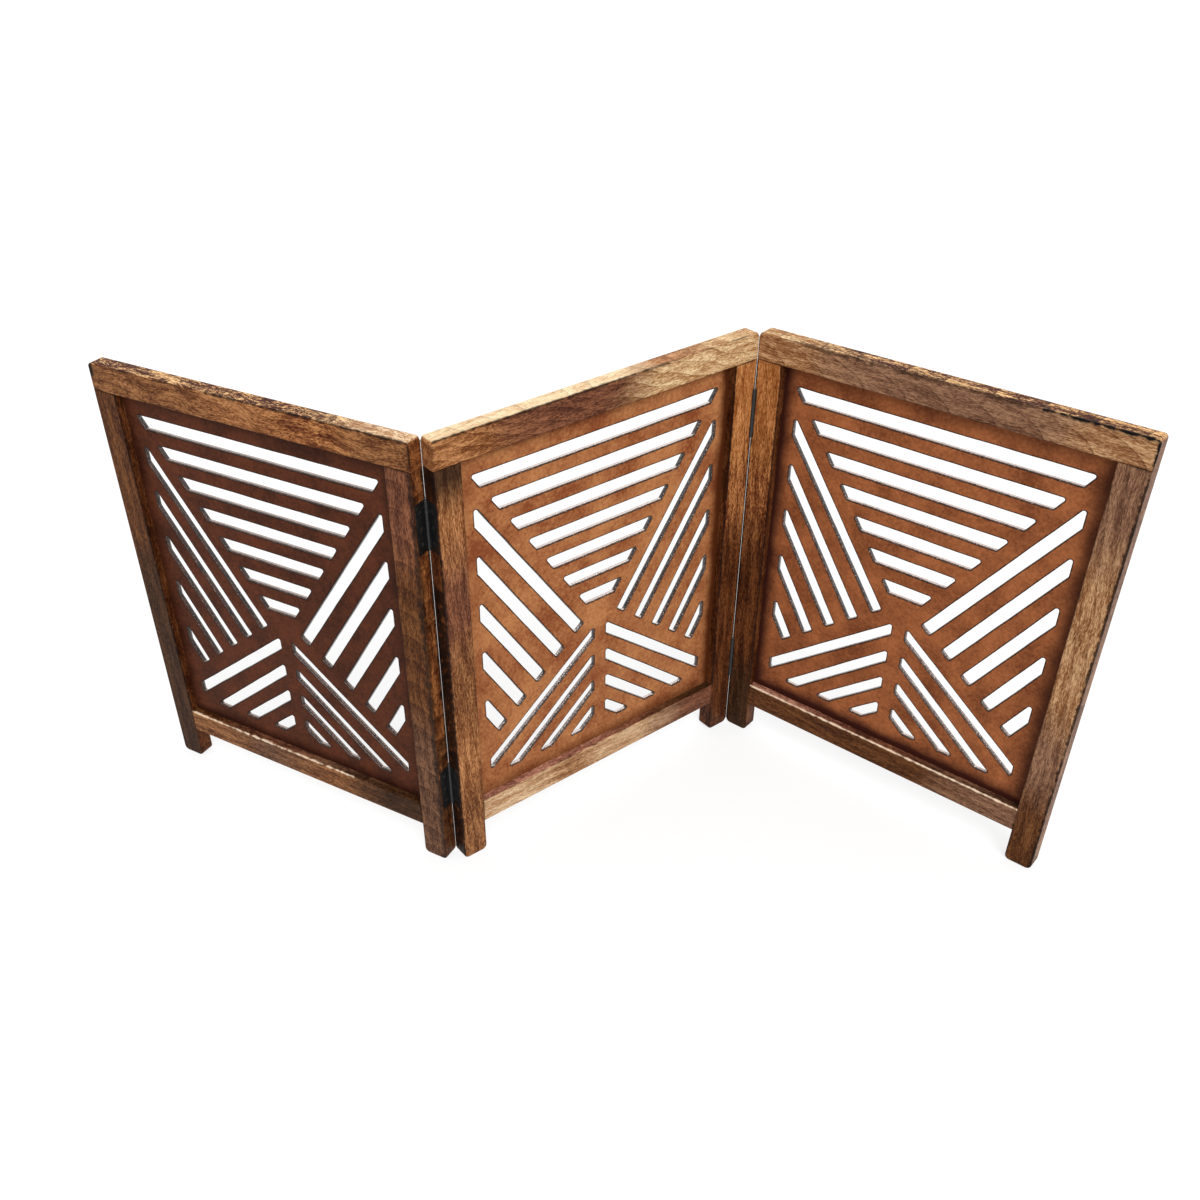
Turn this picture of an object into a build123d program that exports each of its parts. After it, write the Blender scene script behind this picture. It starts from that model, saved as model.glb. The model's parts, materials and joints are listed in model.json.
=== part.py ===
from build123d import *
import os
from math import cos, radians, sin, sqrt, tan

os.makedirs("parts", exist_ok=True)

# Folding jali screen: three framed panels on four butt hinges, standing part folded in a zigzag.
# Every piece is drawn in its panel's own frame and placed afterwards. There x runs along the front
# face from the panel's left edge, y goes back from the front face and z goes up from the floor.

# Panel frame
panel_width = 472.0
panel_height = 610.0
panel_thickness = 22.0
stile_width = 35.0
top_rail_height = 35.0
bottom_rail_height = 35.0
leg_height = 50.0
arris_radius = 1.6
top_corner_radius = 5.0
foot_corner_radius = 7.0

# Rebate, cut jali sheet and the beads that hold it from the back
jali_recess = 11.0
jali_thickness = 6.0
jali_edge_clearance = 0.5
rebate_width = 8.0
bead_rounding = 1.5

# Dowels of the corner joints
dowels_per_joint = 2
dowel_diameter = 8.0
dowel_length = 45.0
dowel_short_end = 20.0
dowel_first_inset = 9.0
dowel_pitch = 11.5
dowel_chamfer = 0.8
dowel_end_gap = 0.5

# Brads of the beads
brad_diameter = 1.2
brad_length = 14.0
brad_point_chamfer = 0.3
brads_per_bead = 3
brad_end_inset = 40.0

# Butt hinges
hinge_length = 64.0
hinge_top_inset = 107.0
hinge_floor_height = 120.0
knuckle_count = 5
knuckle_diameter = 6.4
knuckle_gap = 0.2
knuckle_clearance = 0.25
leaf_thickness = 1.4
leaf_width = 16.5
leaf_start = 3.6
leaf_clearance = 0.15
leaf_facing_gap = 0.2
tongue_start = 2.2
panel_gap = 0.2
barrel_stand_off = 0.1
pin_diameter = 3.0
pin_head_diameter = 4.6
pin_head_height = 1.0
pin_head_rounding = 0.5

# Hinge screws
screws_per_leaf = 3
screw_pitch = 20.0
screw_diameter = 3.0
screw_head_diameter = 5.4
screw_length = 12.0
screw_tip_length = 3.0
screw_tip_diameter = 0.6
screw_cross_width = 0.8
screw_cross_length = 3.2
screw_cross_depth = 0.7
screw_head_angle = 90.0

# Radial clearance of pins, screws, dowels and brads in their holes
hole_clearance = 0.05

# Slots: a stack of level slots on top, a fan of steep slots at each side and a fan of shallow
# slots on each side of the middle bar below them
slot_corner_radius = 2.5
slot_corner_share = 0.9
slot_least_length = 40.0
side_margin = 19.0
level_top_margin = 26.0
level_side_margin = 17.0
level_slot_width = 17.5
level_pitch = 36.2
shoulder_angle = 55.5
side_rib = 20.1
side_slot_width = 15.25
side_pitch = 39.6
side_angle_step = 1.2
chevron_angle = 38.6
chevron_offset = 28.0
base_rib = 21.8
base_slot_width = 13.75
base_pitch = 42.5
base_angle = 40.0
base_side_margin = 22.0
base_bottom_margin = 25.0
middle_bar_width = 20.0

# Standing pose: direction of the middle panel in plan and the fold of its two neighbours
middle_heading = 34.5
left_fold = 66.6
right_fold = 78.1

# Sizes that follow from those above
opening_left = stile_width
opening_right = panel_width - stile_width
opening_bottom = leg_height + bottom_rail_height
opening_top = panel_height - top_rail_height
opening_width = opening_right - opening_left
opening_height = opening_top - opening_bottom
rebate_depth = panel_thickness - jali_recess
bead_thickness = rebate_depth - jali_thickness
bead_depth = jali_recess + jali_thickness
rebate_left = opening_left - rebate_width
rebate_right = opening_right + rebate_width
rebate_bottom = opening_bottom - rebate_width
rebate_top = opening_top + rebate_width
leaf_near = leaf_facing_gap / 2
leaf_bed = leaf_near + leaf_thickness
screw_line = leaf_start + leaf_width / 2
knuckle_length = (hinge_length - (knuckle_count - 1) * knuckle_gap) / knuckle_count
knuckle_step = knuckle_length + knuckle_gap
hinge_heights = {"upper": panel_height - hinge_top_inset, "lower": hinge_floor_height}
opening_middle = (opening_bottom + opening_top) / 2
middle_line = panel_width / 2


# ---------------------------------------------------------------- places

def from_side(side, distance):
    """The x that lies at this distance from one edge of a panel."""
    return distance if side == "left" else panel_width - distance


def inward(side):
    """Direction along the panel from one of its edges to its middle."""
    return Vector(1, 0, 0) if side == "left" else Vector(-1, 0, 0)


def pivot_at(side, barrel, height=0.0):
    """Point on the pivot of the hinges at one side of a panel, behind it or in front of it."""
    y = panel_thickness + barrel_stand_off if barrel == "back" else -barrel_stand_off
    return Vector(from_side(side, -panel_gap / 2), y, height)


def dowel_seats():
    """Joint plane of each dowel, its normal along the dowel's short end."""
    seats = []
    for side in ("left", "right"):
        for index in range(dowels_per_joint):
            inset = dowel_first_inset + index * dowel_pitch
            top = Vector(from_side(side, inset), panel_thickness / 2, opening_top)
            low = Vector(from_side(side, stile_width), panel_thickness / 2, leg_height + inset)
            seats.append(Plane(origin=top, z_dir=(0, 0, 1)))
            seats.append(Plane(origin=low, z_dir=-inward(side)))
    return seats


def spread(start, end):
    """Evenly spaced places of the brads along one bead."""
    step = (end - start - 2 * brad_end_inset) / (brads_per_bead - 1)
    return [start + brad_end_inset + index * step for index in range(brads_per_bead)]


def brad_seats():
    """Plane of each brad's head on the inner side of its bead, facing out of the wood."""
    y = bead_depth + bead_thickness / 2
    seats = []
    for x in spread(opening_left, opening_right):
        seats.append(Plane(origin=(x, y, opening_bottom), z_dir=(0, 0, 1)))
        seats.append(Plane(origin=(x, y, opening_top), z_dir=(0, 0, -1)))
    for z in spread(opening_bottom, opening_top):
        seats.append(Plane(origin=(opening_left, y, z), z_dir=(1, 0, 0)))
        seats.append(Plane(origin=(opening_right, y, z), z_dir=(-1, 0, 0)))
    return seats


def leaf_plane(side, barrel, height):
    """Plane at a hinge's middle: x goes from the pivot into the panel, y across its edge."""
    across = Vector(0, -1, 0) if barrel == "back" else Vector(0, 1, 0)
    return Plane(
        origin=pivot_at(side, barrel, height),
        x_dir=inward(side),
        z_dir=inward(side).cross(across),
    )


def screw_seats(leaf):
    """Plane of each screw head on one leaf, facing out of the wood."""
    heights = [(index - (screws_per_leaf - 1) / 2) * screw_pitch for index in range(screws_per_leaf)]
    return [
        Plane(origin=leaf.from_local_coords(Vector(leaf_near, screw_line, z)), z_dir=-leaf.x_dir)
        for z in heights
    ]


# ---------------------------------------------------------------- holes and fasteners

def bore(seats, diameter, below, above=0.0):
    """Cut a round hole through each seat, down its normal by below and up it by above."""
    with Locations(*[seat.offset(-below) for seat in seats]):
        Cylinder(
            diameter / 2 + hole_clearance,
            below + above,
            align=(Align.CENTER, Align.CENTER, Align.MIN),
            mode=Mode.SUBTRACT,
        )


def bore_joints():
    """Cut the holes of the panel's dowels and brads."""
    long_end = dowel_length - dowel_short_end
    bore(dowel_seats(), dowel_diameter, long_end + dowel_end_gap, dowel_short_end + dowel_end_gap)
    bore(brad_seats(), brad_diameter, brad_length)


def fastener_set(piece, seats):
    """The same fastener at every seat."""
    with BuildPart() as fasteners:
        with Locations(*seats):
            add(piece)
    return fasteners.part


with BuildPart() as dowel:
    Cylinder(dowel_diameter / 2, dowel_length)
    chamfer(dowel.edges().filter_by(GeomType.CIRCLE), dowel_chamfer)

with BuildPart() as brad:
    Cylinder(brad_diameter / 2, brad_length, align=(Align.CENTER, Align.CENTER, Align.MAX))
    chamfer(brad.edges().filter_by(GeomType.CIRCLE).sort_by(Axis.Z)[0], brad_point_chamfer)

with BuildPart() as screw:
    cone_height = (screw_head_diameter - screw_diameter) / 2 / tan(radians(screw_head_angle / 2))
    with BuildSketch(Plane.XZ):
        with BuildLine():
            Polyline(
                (0, 0),
                (screw_head_diameter / 2, 0),
                (screw_diameter / 2, -cone_height),
                (screw_diameter / 2, screw_tip_length - screw_length),
                (screw_tip_diameter / 2, -screw_length),
                (0, -screw_length),
                close=True,
            )
        make_face()
    revolve(axis=Axis.Z)
    with BuildSketch():
        Rectangle(screw_cross_length, screw_cross_width)
        Rectangle(screw_cross_width, screw_cross_length)
    extrude(amount=-screw_cross_depth, mode=Mode.SUBTRACT)


# ---------------------------------------------------------------- frame

def face_edges(member):
    """Edges around a member's front and back faces."""
    front_to_back = member.faces().sort_by(Axis.Y)
    return front_to_back[0].edges() + front_to_back[-1].edges()


def cut_rebate():
    """Cut the rebate of the jali sheet into a member from the back."""
    with BuildSketch(Plane.XZ.offset(-panel_thickness)) as rebate:
        with Locations((middle_line, opening_middle)):
            Rectangle(rebate_right - rebate_left, rebate_top - rebate_bottom)
    extrude(rebate.sketch, amount=rebate_depth, mode=Mode.SUBTRACT)


def cut_hinge_seat(leaf):
    """Cut the bed of a hinge leaf into a stile's edge and the notch that clears its barrel."""
    bed_end = leaf_start + leaf_width + leaf_clearance
    bed_height = hinge_length + 2 * leaf_clearance
    notch_height = hinge_length + 2 * (pin_head_height + knuckle_clearance)
    with BuildSketch(leaf.offset(-bed_height / 2)) as bed:
        with Locations((leaf_bed / 2, bed_end / 2)):
            Rectangle(leaf_bed, bed_end)
    extrude(bed.sketch, amount=bed_height, mode=Mode.SUBTRACT)
    with BuildSketch(leaf.offset(-notch_height / 2)) as notch:
        Circle(knuckle_diameter / 2 + knuckle_clearance)
    extrude(notch.sketch, amount=notch_height, mode=Mode.SUBTRACT)


def square_corner(side, barrel, low, high):
    """Leave a member's arris square where it lies along the pivot, so that the panels meet."""
    y = arris_radius / 2 if barrel == "front" else panel_thickness - arris_radius / 2
    with Locations((from_side(side, arris_radius / 2), y, (low + high) / 2)):
        Box(arris_radius, arris_radius, high - low)


def make_stile(side, barrel, leaves):
    """Upright under the top rail, running down past the bottom rail as a leg."""
    with BuildPart() as stile:
        with BuildSketch(Plane.XZ):
            with Locations((from_side(side, stile_width / 2), opening_top / 2)):
                board = Rectangle(stile_width, opening_top)
            fillet(board.vertices().group_by(Axis.Y)[0], foot_corner_radius)
        extrude(amount=-panel_thickness)
        below_joint = opening_top - arris_radius
        fillet(face_edges(stile).filter_by(lambda edge: edge.center().Z < below_joint), arris_radius)
        if barrel:
            square_corner(side, barrel, foot_corner_radius, opening_top)
        cut_rebate()
        bore_joints()
        for leaf in leaves:
            cut_hinge_seat(leaf)
            bore(screw_seats(leaf), screw_diameter, screw_length)
    return stile.part


def make_top_rail(barrels):
    """Rail across the tops of both stiles, with the barrel's place at each hinged side."""
    with BuildPart() as rail:
        with BuildSketch(Plane.XZ):
            with Locations((middle_line, panel_height - top_rail_height / 2)):
                board = Rectangle(panel_width, top_rail_height)
            fillet(board.vertices().group_by(Axis.Y)[-1], top_corner_radius)
        extrude(amount=-panel_thickness)
        fillet(face_edges(rail), arris_radius)
        for side, barrel in barrels.items():
            square_corner(side, barrel, opening_top, panel_height - top_corner_radius)
        cut_rebate()
        bore_joints()
    return rail.part


with BuildPart() as bottom_rail:
    with BuildSketch(Plane.XZ):
        with Locations((middle_line, leg_height + bottom_rail_height / 2)):
            Rectangle(opening_width, bottom_rail_height)
    extrude(amount=-panel_thickness)
    long_edges = face_edges(bottom_rail).filter_by(Axis.X)
    fillet(long_edges, arris_radius)
    cut_rebate()
    bore_joints()


def make_bead(edge):
    """Strip that holds the jali sheet in its rebate, at the top, bottom, left or right."""
    if edge in ("top", "bottom"):
        size = (rebate_right - rebate_left, rebate_width)
        z = (rebate_bottom + opening_bottom) / 2 if edge == "bottom" else (rebate_top + opening_top) / 2
        centre = (middle_line, z)
    else:
        size = (rebate_width, opening_height)
        centre = (from_side(edge, (rebate_left + opening_left) / 2), opening_middle)
    with BuildPart() as bead:
        with BuildSketch(Plane.XZ.offset(-bead_depth)):
            with Locations(centre):
                Rectangle(*size)
        extrude(amount=-bead_thickness)
        inner_back = bead.edges().sort_by_distance((middle_line, panel_thickness, opening_middle))[0]
        fillet(inner_back, bead_rounding)
        bore(brad_seats(), brad_diameter, brad_length)
    return bead.part


# ---------------------------------------------------------------- jali sheet

def clipped(outline, point, inside):
    """What a straight cut through point leaves of a convex outline, on its inside."""
    kept = []
    for start, end in zip(outline, outline[1:] + outline[:1]):
        before = (start - point).dot(inside)
        after = (end - point).dot(inside)
        if before >= 0:
            kept.append(start)
        if (before >= 0) != (after >= 0):
            kept.append(start + (end - start) * (before / (before - after)))
    return kept


def band(point, angle, width):
    """Long band whose upper edge passes through point, rising to the left at angle."""
    along = Vector(-cos(radians(angle)), sin(radians(angle)))
    down = Vector(-sin(radians(angle)), -cos(radians(angle)))
    reach = panel_width + panel_height
    near = point - along * reach
    far = point + along * reach
    return [near, far, far + down * width, near + down * width]


def is_slot(outline):
    """Whether an outline is long enough to be worth cutting."""
    sides = [(end - start).length for start, end in zip(outline, outline[1:] + outline[:1])]
    return len(outline) > 2 and max(sides) > slot_least_length


def slots_in_turn(outline_at):
    """Outlines number 0, 1, 2 and on, up to the first that is too short."""
    outlines = []
    while is_slot(outline_at(len(outlines))):
        outlines.append(outline_at(len(outlines)))
    return outlines


def across_middle(point):
    """The same point on the other side of the sheet's middle line."""
    return Vector(2 * middle_line - point.X, point.Y)


def level_slots():
    """Level slots, which shorten downwards along the two shoulder lines."""
    corner = Vector(opening_left + level_side_margin, opening_top - level_top_margin)
    rise = sin(radians(shoulder_angle))
    run = cos(radians(shoulder_angle))

    def outline_at(index):
        outline = band(corner - Vector(0, index * level_pitch), 0, level_slot_width)
        outline = clipped(outline, corner, Vector(rise, run))
        return clipped(outline, across_middle(corner), Vector(-rise, run))

    return slots_in_turn(outline_at)


def below_shoulder(x, rib):
    """Point a rib's width below the left shoulder line."""
    fall = (x - opening_left - level_side_margin) * tan(radians(shoulder_angle))
    return Vector(x, opening_top - level_top_margin - fall - rib / cos(radians(shoulder_angle)))


def left_side_slots():
    """Steep slots from the side border down to the chevron line."""
    start = below_shoulder(middle_line - chevron_offset, side_rib)
    chevron = Vector(-cos(radians(chevron_angle)), -sin(radians(chevron_angle)))
    above_chevron = Vector(chevron.Y, -chevron.X)

    def outline_at(index):
        corner = start + chevron * (side_pitch * index)
        outline = band(corner, shoulder_angle + side_angle_step * index, side_slot_width)
        outline = clipped(outline, start, above_chevron)
        outline = clipped(outline, Vector(0, opening_bottom + base_bottom_margin), Vector(0, 1))
        return clipped(outline, Vector(opening_left + side_margin, 0), Vector(1, 0))

    return slots_in_turn(outline_at)


def left_base_slots():
    """Shallow slots from the middle bar down to the side and bottom borders."""
    bar_edge = middle_line - middle_bar_width / 2
    chevron_start = below_shoulder(middle_line - chevron_offset, side_rib)
    climb = (bar_edge - chevron_start.X) * tan(radians(chevron_angle))
    rib_height = base_rib / cos(radians(chevron_angle))
    start = Vector(bar_edge, chevron_start.Y + climb - rib_height)

    def outline_at(index):
        angle = chevron_angle if index == 0 else base_angle
        outline = band(start - Vector(0, base_pitch * index), -angle, base_slot_width)
        outline = clipped(outline, start, Vector(-1, 0))
        outline = clipped(outline, Vector(0, opening_bottom + base_bottom_margin), Vector(0, 1))
        return clipped(outline, Vector(opening_left + base_side_margin, 0), Vector(1, 0))

    return slots_in_turn(outline_at)


def corner_radius(outline):
    """Rounding of a slot's corners, less than its own where the slot is too small for it."""
    after = outline[1:] + outline[:1]
    before = outline[-1:] + outline[:-1]
    spans = []
    for last, point, following in zip(before, outline, after):
        cosine = (last - point).normalized().dot((following - point).normalized())
        spans.append(sqrt((1 + cosine) / (1 - cosine)))
    sides = [(end - start).length for start, end in zip(outline, after)]
    room = [side / (span + far) for side, span, far in zip(sides, spans, spans[1:] + spans[:1])]
    return min(slot_corner_radius, min(room) * slot_corner_share)


one_side = left_side_slots() + left_base_slots()
other_side = [[across_middle(point) for point in reversed(outline)] for outline in one_side]

with BuildPart() as jali:
    with BuildSketch(Plane.XZ.offset(-jali_recess)):
        with Locations((middle_line, opening_middle)):
            Rectangle(
                rebate_right - rebate_left - 2 * jali_edge_clearance,
                rebate_top - rebate_bottom - 2 * jali_edge_clearance,
            )
        for slot in level_slots() + one_side + other_side:
            with BuildLine():
                FilletPolyline(*slot, radius=corner_radius(slot), close=True)
            make_face(mode=Mode.SUBTRACT)
    extrude(amount=-jali_thickness)


# ---------------------------------------------------------------- hinges

def make_leaf(plane, knuckles):
    """Hinge leaf on its panel's edge, with the knuckles of these numbers."""
    plate_middle = leaf_near + leaf_thickness / 2
    with BuildPart() as leaf:
        with BuildSketch(plane.offset(-hinge_length / 2)):
            with Locations((plate_middle, screw_line)):
                Rectangle(leaf_thickness, leaf_width)
        extrude(amount=hinge_length)
        for number in knuckles:
            with BuildSketch(plane.offset(number * knuckle_step - hinge_length / 2)):
                Circle(knuckle_diameter / 2)
                with Locations((plate_middle, (leaf_start + tongue_start) / 2)):
                    Rectangle(leaf_thickness, leaf_start - tongue_start)
                Circle(pin_diameter / 2 + hole_clearance, mode=Mode.SUBTRACT)
            extrude(amount=knuckle_length)
        with Locations(*screw_seats(plane)):
            CounterSinkHole(
                screw_diameter / 2 + hole_clearance,
                screw_head_diameter / 2 + hole_clearance,
                screw_length,
                screw_head_angle,
            )
    return leaf.part


with BuildPart() as pin:
    Cylinder(pin_diameter / 2, hinge_length)
    for end in (-1, 1):
        with Locations(Plane(origin=(0, 0, end * hinge_length / 2), z_dir=(0, 0, end))):
            Cylinder(
                pin_head_diameter / 2,
                pin_head_height,
                align=(Align.CENTER, Align.CENTER, Align.MIN),
            )
    rims = pin.edges().filter_by(GeomType.CIRCLE).sort_by(Axis.Z)
    fillet([rims[0], rims[-1]], pin_head_rounding)


# ---------------------------------------------------------------- the screen

def plan_step(x, y, heading):
    """Step x along a panel of this heading and y back from its face, in the screen's frame."""
    c = cos(radians(heading))
    s = sin(radians(heading))
    return Vector(x * c - y * s, x * s + y * c)


def panel_places():
    """Frame of each panel, with the origin on the floor under the middle of the whole screen."""
    headings = {
        "left_panel": middle_heading - left_fold,
        "middle_panel": middle_heading,
        "right_panel": middle_heading - right_fold,
    }

    def pivot_step(panel, side, barrel):
        pivot = pivot_at(side, barrel)
        return plan_step(pivot.X, pivot.Y, headings[panel])

    left_pivot = pivot_step("middle_panel", "left", "back")
    right_pivot = pivot_step("middle_panel", "right", "front")
    corners = {
        "left_panel": left_pivot - pivot_step("left_panel", "right", "back"),
        "middle_panel": Vector(0, 0),
        "right_panel": right_pivot - pivot_step("right_panel", "left", "front"),
    }
    rounding_centres = [
        corners[panel] + plan_step(x, y, heading)
        for panel, heading in headings.items()
        for x in (arris_radius, panel_width - arris_radius)
        for y in (arris_radius, panel_thickness - arris_radius)
    ]
    xs = [point.X for point in rounding_centres]
    ys = [point.Y for point in rounding_centres]
    middle = Vector((min(xs) + max(xs)) / 2, (min(ys) + max(ys)) / 2)
    return {
        panel: Plane(origin=corners[panel] - middle, x_dir=plan_step(1, 0, heading), z_dir=(0, 0, 1))
        for panel, heading in headings.items()
    }


def write(piece, name, place):
    """Put a finished piece in its place in the screen and write its file."""
    with BuildPart() as placed:
        with Locations(place):
            add(piece)
    placed.part.label = name
    export_step(placed.part, f"parts/{name}.step")


middle_of_dowel = dowel_short_end - dowel_length / 2
shared_pieces = {
    "bottom_rail": bottom_rail.part,
    "jali": jali.part,
    "dowels": fastener_set(dowel, [seat.offset(middle_of_dowel) for seat in dowel_seats()]),
    "bead_brads": fastener_set(brad, brad_seats()),
}
for edge in ("top", "bottom", "left", "right"):
    shared_pieces[f"{edge}_bead"] = make_bead(edge)

hinged_sides = {
    "left_panel": {"right": "back"},
    "middle_panel": {"left": "back", "right": "front"},
    "right_panel": {"left": "front"},
}
places = panel_places()

for panel, place in places.items():
    for name, piece in shared_pieces.items():
        write(piece, f"{panel}_{name}", place)
    leaves = {
        side: [leaf_plane(side, barrel, height) for height in hinge_heights.values()]
        for side, barrel in hinged_sides[panel].items()
    }
    write(make_top_rail(hinged_sides[panel]), f"{panel}_top_rail", place)
    for side in ("left", "right"):
        stile = make_stile(side, hinged_sides[panel].get(side), leaves.get(side, []))
        write(stile, f"{panel}_{side}_stile", place)
    panel_screws = [seat for side in leaves for leaf in leaves[side] for seat in screw_seats(leaf)]
    write(fastener_set(screw, panel_screws), f"{panel}_hinge_screws", place)

inner_knuckles = range(0, knuckle_count, 2)
outer_knuckles = range(1, knuckle_count, 2)

for side, barrel in hinged_sides["middle_panel"].items():
    far_side = "right" if side == "left" else "left"
    for level, height in hinge_heights.items():
        hinge = f"{side}_joint_{level}"
        middle_leaf = make_leaf(leaf_plane(side, barrel, height), inner_knuckles)
        far_leaf = make_leaf(leaf_plane(far_side, barrel, height), outer_knuckles)
        hinge_pin = fastener_set(pin, [Location(pivot_at(side, barrel, height))])
        write(middle_leaf, f"{hinge}_middle_leaf", places["middle_panel"])
        write(far_leaf, f"{hinge}_{side}_leaf", places[f"{side}_panel"])
        write(hinge_pin, f"{hinge}_pin", places["middle_panel"])
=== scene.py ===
"""Look of a folding jali screen: mango wood frames, slotted sheets and black butt hinges.

Sizes and places are in the panel's own terms: u runs along a panel's front face from its left
edge, v goes back from the front face and z goes up from the floor. They are in millimetres.
Blender's objects are in metres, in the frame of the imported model.
"""

import json
import logging
import math
from dataclasses import dataclass, replace
from enum import Enum
from functools import partial
from typing import Any, Callable

import bmesh
import bpy
import numpy as np
from mathutils import Matrix, Vector, geometry, noise


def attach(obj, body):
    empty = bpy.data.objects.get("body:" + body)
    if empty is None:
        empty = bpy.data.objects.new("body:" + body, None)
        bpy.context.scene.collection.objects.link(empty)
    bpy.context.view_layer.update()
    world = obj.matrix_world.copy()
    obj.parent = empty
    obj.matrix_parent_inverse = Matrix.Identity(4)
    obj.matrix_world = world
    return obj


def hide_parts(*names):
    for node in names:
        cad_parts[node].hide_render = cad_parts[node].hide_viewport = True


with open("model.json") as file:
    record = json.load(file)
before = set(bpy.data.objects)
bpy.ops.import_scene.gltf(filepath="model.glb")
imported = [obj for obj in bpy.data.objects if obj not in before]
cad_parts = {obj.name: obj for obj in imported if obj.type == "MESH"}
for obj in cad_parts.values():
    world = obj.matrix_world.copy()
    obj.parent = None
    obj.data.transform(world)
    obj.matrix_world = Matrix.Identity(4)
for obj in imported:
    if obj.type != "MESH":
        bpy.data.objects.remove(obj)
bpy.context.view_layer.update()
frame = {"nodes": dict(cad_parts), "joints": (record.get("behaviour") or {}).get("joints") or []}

LOG = logging.getLogger("jali_screen")
MM = 0.001

# Thin lacquer in open pores: an ordinary dielectric whose shine is held down.
LACQUER_IOR = 1.47
LACQUER_SHINE = 0.07

Triple = tuple[float, float, float]
Add = Callable[..., bpy.types.Node]


# ---------------------------------------------------------------- helpers

def linear(hex_colour: str) -> tuple[float, float, float, float]:
    """Turn an sRGB colour into the linear one that shaders take.

    Args:
        hex_colour: The colour as "#RRGGBB".

    Returns:
        Linear red, green and blue, and an alpha of 1.
    """
    channels = [int(hex_colour[start:start + 2], 16) / 255 for start in (1, 3, 5)]
    red, green, blue = (
        channel / 12.92 if channel <= 0.04045 else ((channel + 0.055) / 1.055) ** 2.4
        for channel in channels
    )
    return red, green, blue, 1.0


def add_node(
    tree: bpy.types.NodeTree,
    kind: str,
    inputs: dict[str | int, Any] | None = None,
    **settings: Any,
) -> bpy.types.Node:
    """Add a node with its settings, values and links.

    Args:
        tree: The node tree that it goes into.
        kind: Blender's name of the node type.
        inputs: Value, socket or node for each input, by name or number.
        **settings: Properties of the node itself.

    Returns:
        The new node.
    """
    made = tree.nodes.new(kind)
    for name, value in settings.items():
        setattr(made, name, value)
    for key, value in (inputs or {}).items():
        sockets = [socket for socket in made.inputs if socket.enabled]
        if isinstance(key, int):
            target = sockets[key]
        else:
            target = next(socket for socket in sockets if socket.name == key)
        if isinstance(value, bpy.types.Node):
            value = next(socket for socket in value.outputs if socket.enabled)
        if isinstance(value, bpy.types.NodeSocket):
            tree.links.new(value, target)
        else:
            target.default_value = value
    return made


def set_stops(ramp: bpy.types.Node, stops: list[tuple[float, str]]) -> None:
    """Give a colour ramp its stops.

    Args:
        ramp: The Color Ramp node.
        stops: Position from 0 to 1 and sRGB colour of each stop, in order.
    """
    elements = ramp.color_ramp.elements
    while len(elements) < len(stops):
        elements.new(1.0)
    while len(elements) > len(stops):
        elements.remove(elements[-1])
    for element, (position, colour) in zip(elements, stops):
        element.position = position
        element.color = linear(colour)


def new_material(name: str) -> tuple[bpy.types.Material, Add]:
    """Start an empty node material.

    Args:
        name: The material's name.

    Returns:
        The material and a function that adds nodes to it.
    """
    material = bpy.data.materials.new(name)
    material.use_nodes = True
    material.node_tree.nodes.clear()
    return material, partial(add_node, material.node_tree)


def seen_ray(add: Add) -> bpy.types.Node:
    """Add the nodes that tell a ray that sees the background from one that carries light.

    Args:
        add: The function that adds nodes.

    Returns:
        A node whose value is 1 for rays of the camera, of reflections and through clear bodies.
    """
    path = add("ShaderNodeLightPath")
    seen = add(
        "ShaderNodeMath",
        {0: path.outputs["Is Camera Ray"], 1: path.outputs["Is Glossy Ray"]},
        operation="MAXIMUM",
    )
    return add(
        "ShaderNodeMath", {0: seen, 1: path.outputs["Is Transmission Ray"]}, operation="MAXIMUM"
    )


def give(piece: bpy.types.Object, *materials: bpy.types.Material) -> None:
    """Put materials in an object's slots in place of what was there.

    Args:
        piece: The object.
        *materials: The materials, in the order of the slots.
    """
    piece.data.materials.clear()
    for material in materials:
        piece.data.materials.append(material)


# ---------------------------------------------------------------- sizes and places

@dataclass(frozen=True)
class ScreenSizes:
    """Driving sizes of the screen that its looks need, in millimetres."""

    width: float = 472.0
    height: float = 610.0
    thickness: float = 22.0
    stile: float = 35.0
    top_rail: float = 35.0
    bottom_rail: float = 35.0
    leg: float = 50.0
    jali_recess: float = 11.0
    jali_thickness: float = 6.0
    panel_gap: float = 0.2
    barrel_stand_off: float = 0.1

    @property
    def opening(self) -> tuple[float, float, float, float]:
        """Measure the opening inside a panel's frame.

        Returns:
            Its left, right, bottom and top.
        """
        return (
            self.stile,
            self.width - self.stile,
            self.leg + self.bottom_rail,
            self.height - self.top_rail,
        )


@dataclass(frozen=True)
class PanelPlace:
    """Where one panel stands: its direction in plan and its left front corner on the floor."""

    name: str
    heading: float
    corner: Vector

    @property
    def matrix(self) -> Matrix:
        """Transform from the panel's own metres to the screen's."""
        return Matrix.Translation(self.corner) @ Matrix.Rotation(self.heading, 4, "Z")

    def point_in_millimetres(self, add: Add) -> bpy.types.Node:
        """Add the nodes that give a material the panel's u, v and z in millimetres.

        Args:
            add: The function that adds nodes.

        Returns:
            The node with the point.
        """
        coordinates = add("ShaderNodeTexCoord")
        return add(
            "ShaderNodeMapping",
            {
                "Vector": coordinates.outputs["Object"],
                "Location": self.corner,
                "Rotation": (0.0, 0.0, self.heading),
                "Scale": (MM, MM, MM),
            },
            vector_type="TEXTURE",
        )


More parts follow.
